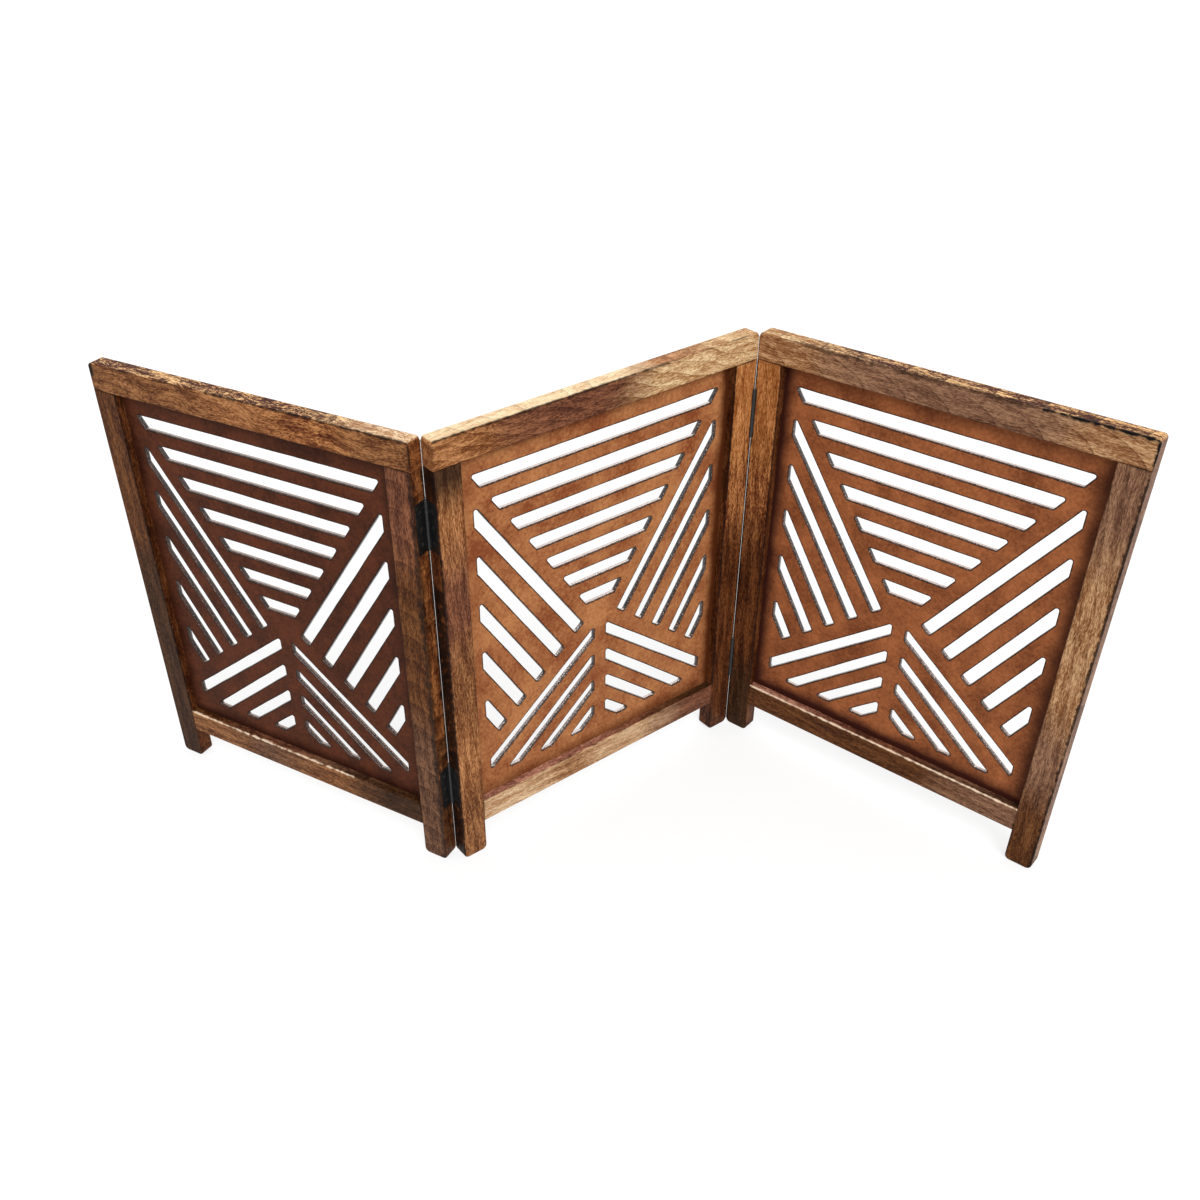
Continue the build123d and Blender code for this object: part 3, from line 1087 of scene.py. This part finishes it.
@dataclass
class JaliSheet:
    """The slotted sheet of one panel, with hand-sawn slots whose arrises are worn round.

    Its outlines come from the sheet's CAD solid. Each slot's wall wanders a little, as a
    jigsaw leaves it, and a value on each point says how far the nearest slot is.
    """

    DISTANCE = "slot_distance_mm"

    place: PanelPlace
    sizes: ScreenSizes
    board: JaliBoard
    sawn_edge: SawnEdge

    # Step along an outline, round of an arris and width of the ring of faces that shows the
    # burnt line.
    step: float = 4.0
    arris: float = 0.45
    char_ring: float = 2.4

    # How far the saw wanders and tears, and over which lengths.
    wander: float = 0.35
    wander_length: float = 38.0
    tear: float = 0.13
    tear_length: float = 5.0

    @property
    def node(self) -> str:
        """Name of the CAD node that the sheet stands for."""
        return f"{self.place.name}_jali"

    def build(self) -> bpy.types.Object:
        """Build the sheet, dress it and put it in the CAD node's place.

        Returns:
            The finished sheet.
        """
        outer, *slots = self._outlines()
        slots = [self._sawn(slot) for slot in slots]
        points, near, triangles, rims = self._face(outer, slots)
        vertices, faces, walls = self._solid(points, triangles, rims)
        mesh = bpy.data.meshes.new(f"{self.node}_sheet")
        to_screen = self.place.matrix @ Matrix.Scale(MM, 4)
        mesh.from_pydata([to_screen @ Vector(vertex) for vertex in vertices], [], faces)
        mesh.shade_smooth()
        mesh.set_sharp_from_angle(angle=math.radians(50))
        near = near + near + [0.0] * (len(vertices) - 2 * len(near))
        mesh.attributes.new(self.DISTANCE, "FLOAT", "POINT").data.foreach_set("value", near)
        sheet = bpy.data.objects.new(f"{self.node}_sheet", mesh)
        bpy.context.scene.collection.objects.link(sheet)
        give(
            sheet,
            self.board.material(self.place, self.sizes),
            self.sawn_edge.material(self.place, self.sizes),
        )
        mesh.polygons.foreach_set("material_index", [int(n >= walls) for n in range(len(faces))])
        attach(sheet, self.place.name)
        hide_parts(self.node)
        LOG.info("%s: %d slots, %d faces", sheet.name, len(slots), len(faces))
        return sheet

    def _outlines(self) -> list[np.ndarray]:
        """Read the outlines of the front face from the CAD node.

        Returns:
            The outlines' points, u and z, anticlockwise. The outer outline comes first.
        """
        solid = bmesh.new()
        solid.from_mesh(frame["nodes"][self.node].data)
        bmesh.ops.remove_doubles(solid, verts=solid.verts, dist=0.001 * MM)
        bmesh.ops.transform(solid, matrix=self.place.matrix.inverted(), verts=solid.verts)
        plane = self.sizes.jali_recess * MM
        front = [
            face for face in solid.faces if all(abs(v.co.y - plane) < 0.01 * MM for v in face.verts)
        ]
        in_front = set(front)
        following = {
            loop.vert: loop.link_loop_next.vert
            for face in front
            for loop in face.loops
            if loop.link_loop_radial_next.face not in in_front
        }
        outlines = []
        while following:
            vertex = next(iter(following))
            outline = []
            while vertex in following:
                outline.append((vertex.co.x / MM, vertex.co.z / MM))
                vertex = following.pop(vertex)
            outlines.append(np.array(outline))
        solid.free()
        # The face's own edges run anticlockwise outside and clockwise around each slot.
        outlines.sort(key=lambda outline: -np.ptp(outline[:, 0]) * np.ptp(outline[:, 1]))
        return outlines[:1] + [outline[::-1] for outline in outlines[1:]]

    def _evenly(self, outline: np.ndarray) -> np.ndarray:
        """Divide an outline's long sides into steps of about the sheet's step.

        Args:
            outline: The outline's points.

        Returns:
            The points of the divided outline.
        """
        points = []
        for start, end in zip(outline, np.roll(outline, -1, axis=0)):
            count = max(1, round(float(np.linalg.norm(end - start)) / self.step))
            points += [start + (end - start) * n / count for n in range(count)]
        return np.array(points)

    @staticmethod
    def _outward(outline: np.ndarray) -> np.ndarray:
        """Find the direction from a slot into the board.

        Args:
            outline: The slot's points.

        Returns:
            The unit direction at each point.
        """
        along = np.roll(outline, -1, axis=0) - np.roll(outline, 1, axis=0)
        normal = np.stack([along[:, 1], -along[:, 0]], axis=1)
        return normal / np.linalg.norm(normal, axis=1)[:, None]

    def _sawn(self, slot: np.ndarray) -> np.ndarray:
        """Let a slot's outline wander and tear as a hand-held saw leaves it.

        Args:
            slot: The slot's points.

        Returns:
            The points of the sawn outline.
        """
        even = self._evenly(slot)
        shift = [
            self.wander * noise.noise(Vector((x, z, self.board.seed * 50.0)) / self.wander_length)
            + self.tear * noise.noise(Vector((x, z, self.board.seed * 7.0)) / self.tear_length)
            for x, z in even
        ]
        return even + self._outward(even) * np.array(shift)[:, None]

    def _face(
        self, outer: np.ndarray, slots: list[np.ndarray]
    ) -> tuple[list[tuple[float, float]], list[float], list[tuple[int, ...]], list[list[int]]]:
        """Fill the face between the outer outline and the slots with triangles.

        Args:
            outer: The sheet's outer outline.
            slots: The slots' outlines.

        Returns:
            The face's points, the distance from each to its slot, the triangles and, for each
            outline, the outer one first, the numbers of its points.
        """
        rims = [outer] + [slot + self._outward(slot) * self.arris for slot in slots]
        rings = [slot + self._outward(slot) * self.char_ring for slot in slots]
        distances = np.repeat(
            [self.sizes.stile, 0.0, self.char_ring],
            [len(outer), sum(map(len, slots)), sum(map(len, slots))],
        )
        starts = np.cumsum([0] + [len(rim) for rim in rims])
        faces = [list(range(start, end)) for start, end in zip(starts, starts[1:])]
        flat, _, triangles, came_from, _, inside_of = geometry.delaunay_2d_cdt(
            [Vector(spot) for spot in np.vstack(rims + rings)], [], faces, 1, 1e-5
        )
        number = {source: index for index, sources in enumerate(came_from) for source in sources}
        board = [tri for tri, owners in zip(triangles, inside_of) if list(owners) == [0]]
        return (
            [(point.x, point.y) for point in flat],
            [float(distances[sources[0]]) for sources in came_from],
            [tuple(tri) for tri in board],
            [[number[n] for n in face] for face in faces],
        )

    def _solid(
        self,
        points: list[tuple[float, float]],
        triangles: list[tuple[int, ...]],
        rims: list[list[int]],
    ) -> tuple[list[Triple], list[tuple[int, ...]], int]:
        """Close the two faces with the slots' walls and the sheet's outer edge.

        Args:
            points: Points of a face.
            triangles: Triangles of a face.
            rims: Numbers of each outline's points, the outer one first.

        Returns:
            The solid's points, its faces and the number of the first face of a slot's wall.
        """
        front = self.sizes.jali_recess
        back = front + self.sizes.jali_thickness
        count = len(points)
        vertices = [(x, front, z) for x, z in points] + [(x, back, z) for x, z in points]
        faces = [tuple(tri) for tri in triangles]
        faces += [tuple(count + n for n in reversed(tri)) for tri in triangles]
        outside, *slots = rims
        for here, following in zip(outside, outside[1:] + outside[:1]):
            faces.append((following, here, count + here, count + following))
        walls = len(faces)
        for rim in slots:
            flat = np.array([points[n] for n in rim])
            wall = flat - self._outward(flat) * self.arris
            rings = [rim]
            for depth in (front + self.arris, (front + back) / 2, back - self.arris):
                rings.append(list(range(len(vertices), len(vertices) + len(wall))))
                vertices += [(float(x), depth, float(z)) for x, z in wall]
            rings.append([count + n for n in rim])
            for ring, deeper in zip(rings, rings[1:]):
                for n in range(len(ring)):
                    after = (n + 1) % len(ring)
                    faces.append((ring[n], ring[after], deeper[after], deeper[n]))
        return vertices, faces, walls


# ---------------------------------------------------------------- small wood and metal

@dataclass(frozen=True)
class StripWood:
    """Small sawn strip or turned dowel, with fine straight grain.

    It gives the eye a plain matt wood with narrow streaks.
    """

    name: str
    pale: str
    dark: str
    roughness: float
    streak_width: float = 1.2
    streak_length: float = 45.0

    def material(self, place: PanelPlace, grain: Grain) -> bpy.types.Material:
        """Make the strip's material.

        Args:
            place: Where the panel stands.
            grain: Direction of the strip.

        Returns:
            The finished material.
        """
        material, add = new_material(f"{place.name}_{self.name}_{grain.name.lower()}")
        point = place.point_in_millimetres(add)
        scale = [1 / self.streak_width] * 3
        scale["XYZ".index(grain.value[0])] = 1 / self.streak_length
        stretched = add("ShaderNodeVectorMath", {0: point, 1: scale}, operation="MULTIPLY")
        streaks = add(
            "ShaderNodeTexNoise",
            {"Vector": stretched, "Scale": 1.0, "Detail": 4.0, "Roughness": 0.65},
        )
        share = add("ShaderNodeMapRange", {"Value": streaks, "From Min": 0.3, "From Max": 0.7})
        colour = add(
            "ShaderNodeMix",
            {"Factor": share, "A": linear(self.dark), "B": linear(self.pale)},
            data_type="RGBA",
        )
        bump = add("ShaderNodeBump", {"Strength": 0.3, "Distance": 0.15 * MM, "Height": streaks})
        shader = add(
            "ShaderNodeBsdfPrincipled",
            {"Base Color": colour, "Roughness": self.roughness, "IOR": 1.5, "Normal": bump},
        )
        add("ShaderNodeOutputMaterial", {"Surface": shader})
        return material


@dataclass(frozen=True)
class HingeBlack:
    """Pressed steel, dipped in black enamel, rubbed grey on its high spots.

    It gives the eye a deep black with small grey glints.
    """

    name: str = "black_enamelled_steel"
    enamel: str = "#0D0C0C"
    rubbed: str = "#4B4A49"
    rub: float = 3.5

    def material(self) -> bpy.types.Material:
        """Make the material of the hinge leaves.

        Returns:
            The finished material.
        """
        material, add = new_material(self.name)
        coordinates = add("ShaderNodeTexCoord")
        wear = add(
            "ShaderNodeTexNoise",
            {
                "Vector": coordinates.outputs["Object"],
                "Scale": 1 / (self.rub * MM),
                "Detail": 5.0,
                "Roughness": 0.7,
            },
        )
        share = add(
            "ShaderNodeMapRange",
            {"Value": wear, "From Min": 0.56, "From Max": 0.74},
            interpolation_type="SMOOTHSTEP",
        )
        colour = add(
            "ShaderNodeMix",
            {"Factor": share, "A": linear(self.enamel), "B": linear(self.rubbed)},
            data_type="RGBA",
        )
        roughness = add("ShaderNodeMapRange", {"Value": wear, "To Min": 0.22, "To Max": 0.5})
        bump = add("ShaderNodeBump", {"Strength": 0.2, "Distance": 0.1 * MM, "Height": wear})
        shader = add(
            "ShaderNodeBsdfPrincipled",
            {"Base Color": colour, "Roughness": roughness, "IOR": 1.5, "Normal": bump},
        )
        add("ShaderNodeOutputMaterial", {"Surface": shader})
        return material


@dataclass(frozen=True)
class DrawnSteel:
    """Steel wire or screw stock, cold drawn, with a worn surface.

    It gives the eye a grey metal shine that is broken by fine scuffs.
    """

    name: str
    bright: str
    dull: str
    roughness: tuple[float, float]
    scuff: float = 1.4

    def material(self) -> bpy.types.Material:
        """Make the metal's material.

        Returns:
            The finished material.
        """
        material, add = new_material(self.name)
        coordinates = add("ShaderNodeTexCoord")
        scuffs = add(
            "ShaderNodeTexNoise",
            {
                "Vector": coordinates.outputs["Object"],
                "Scale": 1 / (self.scuff * MM),
                "Detail": 4.0,
                "Roughness": 0.65,
            },
        )
        share = add("ShaderNodeMapRange", {"Value": scuffs, "From Min": 0.35, "From Max": 0.65})
        colour = add(
            "ShaderNodeMix",
            {"Factor": share, "A": linear(self.dull), "B": linear(self.bright)},
            data_type="RGBA",
        )
        smooth, rough = self.roughness
        roughness = add("ShaderNodeMapRange", {"Value": scuffs, "To Min": rough, "To Max": smooth})
        bump = add("ShaderNodeBump", {"Strength": 0.15, "Distance": 0.05 * MM, "Height": scuffs})
        shader = add(
            "ShaderNodeBsdfPrincipled",
            {"Base Color": colour, "Metallic": 1.0, "Roughness": roughness, "Normal": bump},
        )
        add("ShaderNodeOutputMaterial", {"Surface": shader})
        return material


# ---------------------------------------------------------------- sub-assemblies

@dataclass
class PanelFrame:
    """Stiles, rails, beads and dowels of one panel, each dressed in its own wood."""

    place: PanelPlace
    woods: dict[str, MangoWood]
    bead_wood: StripWood
    dowel_wood: StripWood

    def dress(self) -> None:
        """Give every wooden piece of the frame its material."""
        level = self.bead_wood.material(self.place, Grain.LEVEL)
        upright = self.bead_wood.material(self.place, Grain.UPRIGHT)
        finishes = {
            "top_bead": level,
            "bottom_bead": level,
            "left_bead": upright,
            "right_bead": upright,
            "dowels": self.dowel_wood.material(self.place, Grain.UPRIGHT),
        }
        for member, wood in self.woods.items():
            finishes[member] = wood.material(self.place)
        for piece, material in finishes.items():
            node = f"{self.place.name}_{piece}"
            give(frame["nodes"][node], material)
            LOG.info("%s: %s", node, material.name)


@dataclass
class Hardware:
    """Hinges, pins, screws and brads of the whole screen."""

    leaves: HingeBlack = HingeBlack()
    pins: DrawnSteel = DrawnSteel("drawn_steel_pin", "#8C8A87", "#4A4846", (0.3, 0.55))
    screws: DrawnSteel = DrawnSteel("blackened_steel_screw", "#A8A5A1", "#3E3B39", (0.25, 0.45))
    brads: DrawnSteel = DrawnSteel("bright_steel_brad", "#B9B8B6", "#77736F", (0.25, 0.45))

    def dress(self) -> None:
        """Give every metal piece its material."""
        finishes = {
            "_leaf": self.leaves.material(),
            "_pin": self.pins.material(),
            "_hinge_screws": self.screws.material(),
            "_bead_brads": self.brads.material(),
        }
        for name, piece in frame["nodes"].items():
            for ending, material in finishes.items():
                if name.endswith(ending):
                    give(piece, material)
                    LOG.info("%s: %s", name, material.name)


@dataclass
class Studio:
    """Camera, lamps, sky and floor, in metres and degrees, and the lens in millimetres."""

    eye: Triple = (-0.0741, -1.248, 1.1647)
    pitch_down: float = 35.94
    turned_right: float = 0.044
    rolled: float = 2.14
    lens: float = 36.07
    sensor: float = 36.0
    shift: tuple[float, float] = (0.0637, 0.0404)

    # The sky's strength at the skyline and overhead.
    sky: tuple[float, float] = (0.75, 0.8)

    # Each lamp stands, or shines from, the side that its `towards` points to.
    key_strength: float = 1.8
    key_spread: float = 30.0
    key_towards: Triple = (0.15, -0.72, 0.68)
    rim_power: float = 12.0
    rim_size: tuple[float, float] = (3.6, 1.4)
    rim_place: Triple = (0.1, 2.6, 2.3)
    rim_towards: Triple = (0.0, 0.76, 0.62)

    floor_radius: float = 16.0
    floor_glow: float = 0.72
    shadow_colour: str = "#959595"
    bounce_colour: str = "#A8A6A3"

    def build(self) -> None:
        """Build the studio around the screen."""
        bpy.context.scene.view_settings.view_transform = "Standard"
        self._camera()
        self._sky()
        self._lamps()
        self._floor()
        LOG.info("studio")

    def _camera(self) -> None:
        """Put up the camera and make it the scene's."""
        lens = bpy.data.cameras.new("camera")
        lens.sensor_width = self.sensor
        lens.lens = self.lens
        lens.shift_x, lens.shift_y = self.shift
        camera = bpy.data.objects.new("camera", lens)
        bpy.context.scene.collection.objects.link(camera)
        camera.matrix_world = (
            Matrix.Translation(self.eye)
            @ Matrix.Rotation(math.radians(-self.turned_right), 4, "Z")
            @ Matrix.Rotation(math.radians(90.0 - self.pitch_down), 4, "X")
            @ Matrix.Rotation(math.radians(-self.rolled), 4, "Z")
        )
        bpy.context.scene.camera = camera

    def _sky(self) -> None:
        """Light the scene evenly from a pale sky that the camera sees as white."""
        world = bpy.data.worlds.new("pale_sky")
        bpy.context.scene.world = world
        world.use_nodes = True
        world.node_tree.nodes.clear()
        add = partial(add_node, world.node_tree)
        coordinates = add("ShaderNodeTexCoord")
        direction = add("ShaderNodeSeparateXYZ", {"Vector": coordinates.outputs["Generated"]})
        skyline, overhead = self.sky
        level = add(
            "ShaderNodeMapRange",
            {"Value": direction.outputs["Z"], "To Min": skyline, "To Max": overhead},
        )
        seen = seen_ray(add)
        strength = add("ShaderNodeMix", {"Factor": seen, "A": level, "B": 1.0}, data_type="FLOAT")
        background = add(
            "ShaderNodeBackground", {"Color": (1.0, 1.0, 1.0, 1.0), "Strength": strength}
        )
        add("ShaderNodeOutputWorld", {"Surface": background})

    def _lamps(self) -> None:
        """Hang the soft lamps: a key in front and a wide one behind, above the screen."""
        key = bpy.data.lights.new("key", "SUN")
        key.energy = self.key_strength
        key.angle = math.radians(self.key_spread)
        rim = bpy.data.lights.new("rim", "AREA")
        rim.shape = "RECTANGLE"
        rim.size, rim.size_y = self.rim_size
        rim.energy = self.rim_power
        for light, towards in ((key, self.key_towards), (rim, self.rim_towards)):
            lamp = bpy.data.objects.new(light.name, light)
            lamp.rotation_euler = Vector(towards).to_track_quat("Z", "Y").to_euler()
            bpy.context.scene.collection.objects.link(lamp)
        bpy.data.objects["rim"].location = self.rim_place

    def _floor(self) -> None:
        """Lay a plain pale floor that keeps the screen's soft shadow."""
        disc = bmesh.new()
        bmesh.ops.create_circle(disc, cap_ends=True, segments=96, radius=self.floor_radius)
        mesh = bpy.data.meshes.new("floor")
        disc.to_mesh(mesh)
        disc.free()
        floor = bpy.data.objects.new("floor", mesh)
        floor.location.z = -0.3 * MM
        bpy.context.scene.collection.objects.link(floor)
        material, add = new_material("pale_floor")
        # Seen straight or in a reflection, the floor glows white and keeps the soft shadow.
        shadowed = add("ShaderNodeBsdfDiffuse", {"Color": linear(self.shadow_colour)})
        glow = add("ShaderNodeEmission", {"Strength": self.floor_glow})
        white = add("ShaderNodeAddShader", {0: shadowed, 1: glow})
        plain = add("ShaderNodeBsdfDiffuse", {"Color": linear(self.bounce_colour)})
        surface = add("ShaderNodeMixShader", {0: seen_ray(add), 1: plain, 2: white})
        add("ShaderNodeOutputMaterial", {"Surface": surface})
        give(floor, material)


# ---------------------------------------------------------------- the screen

def frame_woods(panel: str, sizes: ScreenSizes) -> dict[str, MangoWood]:
    """Choose the wood of each frame member of one panel.

    Args:
        panel: The panel's body name.
        sizes: The screen's sizes.

    Returns:
        The wood of each member, by the member's name.
    """
    left, right, bottom, top = sizes.opening
    width, deep, height = sizes.width, sizes.thickness, sizes.height
    left_reveal = Mark((left, 0, bottom), (left, 0, top), 2.4, 0.85, 0.7)
    right_reveal = Mark((right, 0, bottom), (right, 0, top), 2.4, 0.85, 0.7)
    boxes = {
        "left_stile": ((0.0, 0.0, 0.0), (left, deep, top)),
        "right_stile": ((right, 0.0, 0.0), (width, deep, top)),
        "top_rail": ((0.0, 0.0, top), (width, deep, height)),
        "bottom_rail": ((left, 0.0, sizes.leg), (right, deep, bottom)),
    }
    # Start and end of each upright's tones are its foot and its head.
    choices: dict[str, dict[str, dict[str, Any]]] = {
        # The left panel's members take darker tones than the other panels', partly as painted shade
        # that stands in for the weaker light on that panel.
        "left_panel": {
            "left_stile": dict(
                tones=(Tone.COFFEE, Tone.COFFEE, Tone.COFFEE, Tone.UMBER, Tone.UMBER),
                top_tones_and_sheen=(Tone.UMBER,), seed=1, side_tone=Tone.MAHOGANY,
                scorches_and_shade=(left_reveal,),
            ),
            "right_stile": dict(
                tones=(Tone.WALNUT, Tone.WALNUT, Tone.UMBER, Tone.UMBER, Tone.PLUM),
                top_tones_and_sheen=(Tone.UMBER,), seed=2, side_tone=Tone.RUSSET,
                rings=GrowthRings(34, along=1.0, across=0.4, bow=0.02, line=0.25, shade=0.35),
                scorches_and_shade=(
                    # Along the left fold: a burnt front arris darkened further as painted shade,
                    # and painted shade on the back arris and the edge face deep in the fold.
                    Mark((width - 1, 0, 0), (width, 0, height), 8.0, 0.75, 3.0),
                    Mark((width, deep, 0), (width, deep, height), 5.0, 0.9, 2.0),
                    Mark((width, 3, 0), (width, deep, 200), 3.0, 0.7, 2.0),
                ),
            ),
            "top_rail": dict(
                tones=(Tone.TAN, Tone.TAN, Tone.GOLD, Tone.AMBER, Tone.TAN),
                top_tones_and_sheen=(Tone.SALMON, Tone.SALMON, Tone.SALMON, Tone.SALMON, Tone.WHEAT),
                upper_contrast=2.2, upper_shift=-0.24, seed=3, swirl=6.0,
                band=replace(MangoWood.band, length=34.0), side_tone=Tone.RUSSET,
                scorches_and_shade=(
                    Mark((2, 0, height - 12), (4, 0, height - 4), 8.0, 0.95, 3.0),
                    Mark((190, 0, height), (width, 0, height), 3.4, 0.85, 1.2),
                    Mark((width, 0, top), (width, 0, height), 3.0, 0.8),
                ),
            ),
            "bottom_rail": dict(
                tones=(Tone.TAN, Tone.WALNUT, Tone.TAN, Tone.COFFEE),
                top_tones_and_sheen=(Tone.UMBER, Tone.PLUM, Tone.WALNUT, Tone.COFFEE),
                upper_contrast=1.3, upper_shift=-0.1, seed=4,
                painted_highlights=(Mark((left, 0, bottom), (right - 110, 0, bottom), 2.6, 0.75, 1.5),),
            ),
        },
        "middle_panel": {
            "left_stile": dict(
                tones=(Tone.TAN, Tone.GOLD, Tone.TAN, Tone.PLUM, Tone.GOLD),
                top_tones_and_sheen=(Tone.TAN,), seed=5, side_tone=Tone.MAHOGANY,
                scorches_and_shade=(
                    Mark((0, 0, top - 4), (left, 0, top), 62.0, 0.86, 4.0),
                    # Along the left fold: a burnt front arris, and painted shade on the edge face
                    # deep in the fold.
                    Mark((0, 0, 0), (0, 0, height), 3.0, 0.9),
                    Mark((0, 3, 0), (0, deep, 420), 3.0, 0.85, 3.0),
                ),
            ),
            "right_stile": dict(
                # Dark at the foot, where this stile meets the right panel in the fold: partly the
                # stain, partly painted shade of the fold.
                tones=(Tone.MAHOGANY, Tone.MAHOGANY, Tone.MAHOGANY, Tone.AMBER, Tone.APRICOT),
                top_tones_and_sheen=(Tone.TAN,), seed=6, side_tone=Tone.MAHOGANY,
                scorches_and_shade=(Mark((width, 0, 0), (width, 0, height), 2.8, 0.9), right_reveal),
            ),
            "top_rail": dict(
                tones=(Tone.GOLD, Tone.PLUM, Tone.PLUM, Tone.HONEY, Tone.HONEY),
                top_tones_and_sheen=(Tone.CREAM, Tone.CREAM, Tone.CREAM, Tone.GOLD, Tone.HONEY), seed=7,
                swirl=5.0, band=replace(MangoWood.band, length=60.0),
                rings=GrowthRings(along=0.3, line=0.2, shade=0.35),
                scorches_and_shade=(Mark((0, 0, height), (width * 0.7, 0, height), 3.2, 0.8, 1.1),),
            ),
            "bottom_rail": dict(
                tones=(Tone.WHEAT, Tone.STRAW, Tone.WHEAT, Tone.PLUM),
                top_tones_and_sheen=(Tone.ROSE, Tone.ROSE, Tone.PLUM, Tone.COFFEE), seed=8,
            ),
        },
        "right_panel": {
            "left_stile": dict(
                # Dark at the foot, where this stile meets the middle panel in the fold: partly the
                # stain, partly painted shade of the fold.
                tones=(Tone.COFFEE, Tone.MAHOGANY, Tone.MAHOGANY, Tone.AMBER, Tone.APRICOT),
                top_tones_and_sheen=(Tone.TAN,), seed=9, side_tone=Tone.MAHOGANY,
                scorches_and_shade=(Mark((0, 0, 0), (0, 0, height), 2.8, 0.9), left_reveal),
            ),
            "right_stile": dict(
                tones=(Tone.UMBER, Tone.OLIVE, Tone.STRAW, Tone.STRAW, Tone.OLIVE),
                top_tones_and_sheen=(Tone.TAN,), seed=10, side_tone=Tone.OLIVE,
                scorches_and_shade=(Mark((width - 1, 0, 0), (width, 0, height), 2.9, 0.86, 1.6),),
            ),
            "top_rail": dict(
                tones=(Tone.STRAW, Tone.OLIVE, Tone.OLIVE, Tone.OLIVE, Tone.STRAW),
                top_tones_and_sheen=(Tone.HONEY, Tone.SALMON, Tone.SALMON, Tone.SALMON, Tone.SALMON),
                upper_contrast=2.1, upper_shift=-0.26, seed=11,
                side_tone=Tone.OLIVE,
                rings=GrowthRings(24, along=0.45, across=0.8, bow=0.02, line=0.35, shade=0.25),
                scorches_and_shade=(
                    Mark((60, 0, height), (width, 0, height), 6.0, 0.6, 3.0),
                    Mark((width - 120, 0, height), (width, 0, height), 4.6, 1.0, 1.5),
                    Mark((width, 0, top), (width, 0, height), 3.6, 1.0, 1.5),
                ),
            ),
            "bottom_rail": dict(
                tones=(Tone.UMBER, Tone.UMBER, Tone.UMBER, Tone.OLIVE),
                top_tones_and_sheen=(Tone.ROSE, Tone.PLUM, Tone.WALNUT), upper_contrast=1.4,
                upper_shift=-0.2, seed=12,
                painted_highlights=(Mark((left, 0, bottom), (right, 0, bottom), 2.8, 0.9, 1.0),),
            ),
        },
    }
    return {
        member: MangoWood(
            name=f"{panel}_{member}_mango_wood",
            grain=Grain.UPRIGHT if member.endswith("stile") else Grain.LEVEL,
            low=boxes[member][0],
            high=boxes[member][1],
            **choice,
        )
        for member, choice in choices[panel].items()
    }


def sheet_finishes() -> dict[str, tuple[JaliBoard, SawnEdge]]:
    """Choose the finish of each panel's sheet.

    Returns:
        The sheet's faces and its slots' walls, by the panel's body name.
    """
    # The three sheets are one hardboard. The left one is coloured darker and the middle one paler
    # than the right one, partly as painted shade and painted light of how the lamps fell on each
    # panel.
    return {
        "left_panel": (
            JaliBoard(
                "left_jali_hardboard",
                pale="#603320",
                deep="#3C1D10",
                seed=1,
                borders=(0.5, 0.55, 0.8, 0.15),
                border_stain_and_shade_colour="#220E0A",
            ),
            SawnEdge("left_sawn_board_edge", fibre="#A58F84", burnt_line=2.6),
        ),
        "middle_panel": (
            JaliBoard(
                "middle_jali_hardboard",
                pale="#C08252",
                deep="#88492A",
                seed=2,
                borders=(0.0, 1.2, 0.6, 0.0),
                border_stain_and_shade_colour="#502610",
                border_reach=22.0,
            ),
            SawnEdge("middle_sawn_board_edge"),
        ),
        "right_panel": (
            JaliBoard(
                "right_jali_hardboard",
                pale="#B26C42",
                deep="#7A4428",
                seed=3,
                borders=(1.1, 0.8, 1.25, 0.12),
                border_stain_and_shade_colour="#3A1912",
                border_reach=25.0,
            ),
            SawnEdge("right_sawn_board_edge", fibre="#D8C0B6", burnt_line=2.1),
        ),
    }


def main() -> None:
    """Dress the screen and build its sheets and the studio."""
    logging.basicConfig(level=logging.INFO, format="%(relativeCreated)6d ms %(name)s: %(message)s")
    sizes = ScreenSizes()
    sheets = sheet_finishes()
    bead_wood = StripWood("stained_bead", "#7A4A2C", "#3E2216", 0.5)
    dowel_wood = StripWood("beech_dowel", "#D8B98C", "#A8835A", 0.7)
    for name, place in panel_places(sizes).items():
        PanelFrame(place, frame_woods(name, sizes), bead_wood, dowel_wood).dress()
        JaliSheet(place, sizes, *sheets[name]).build()
    Hardware().dress()
    Studio().build()


if __name__ == "__main__":
    main()
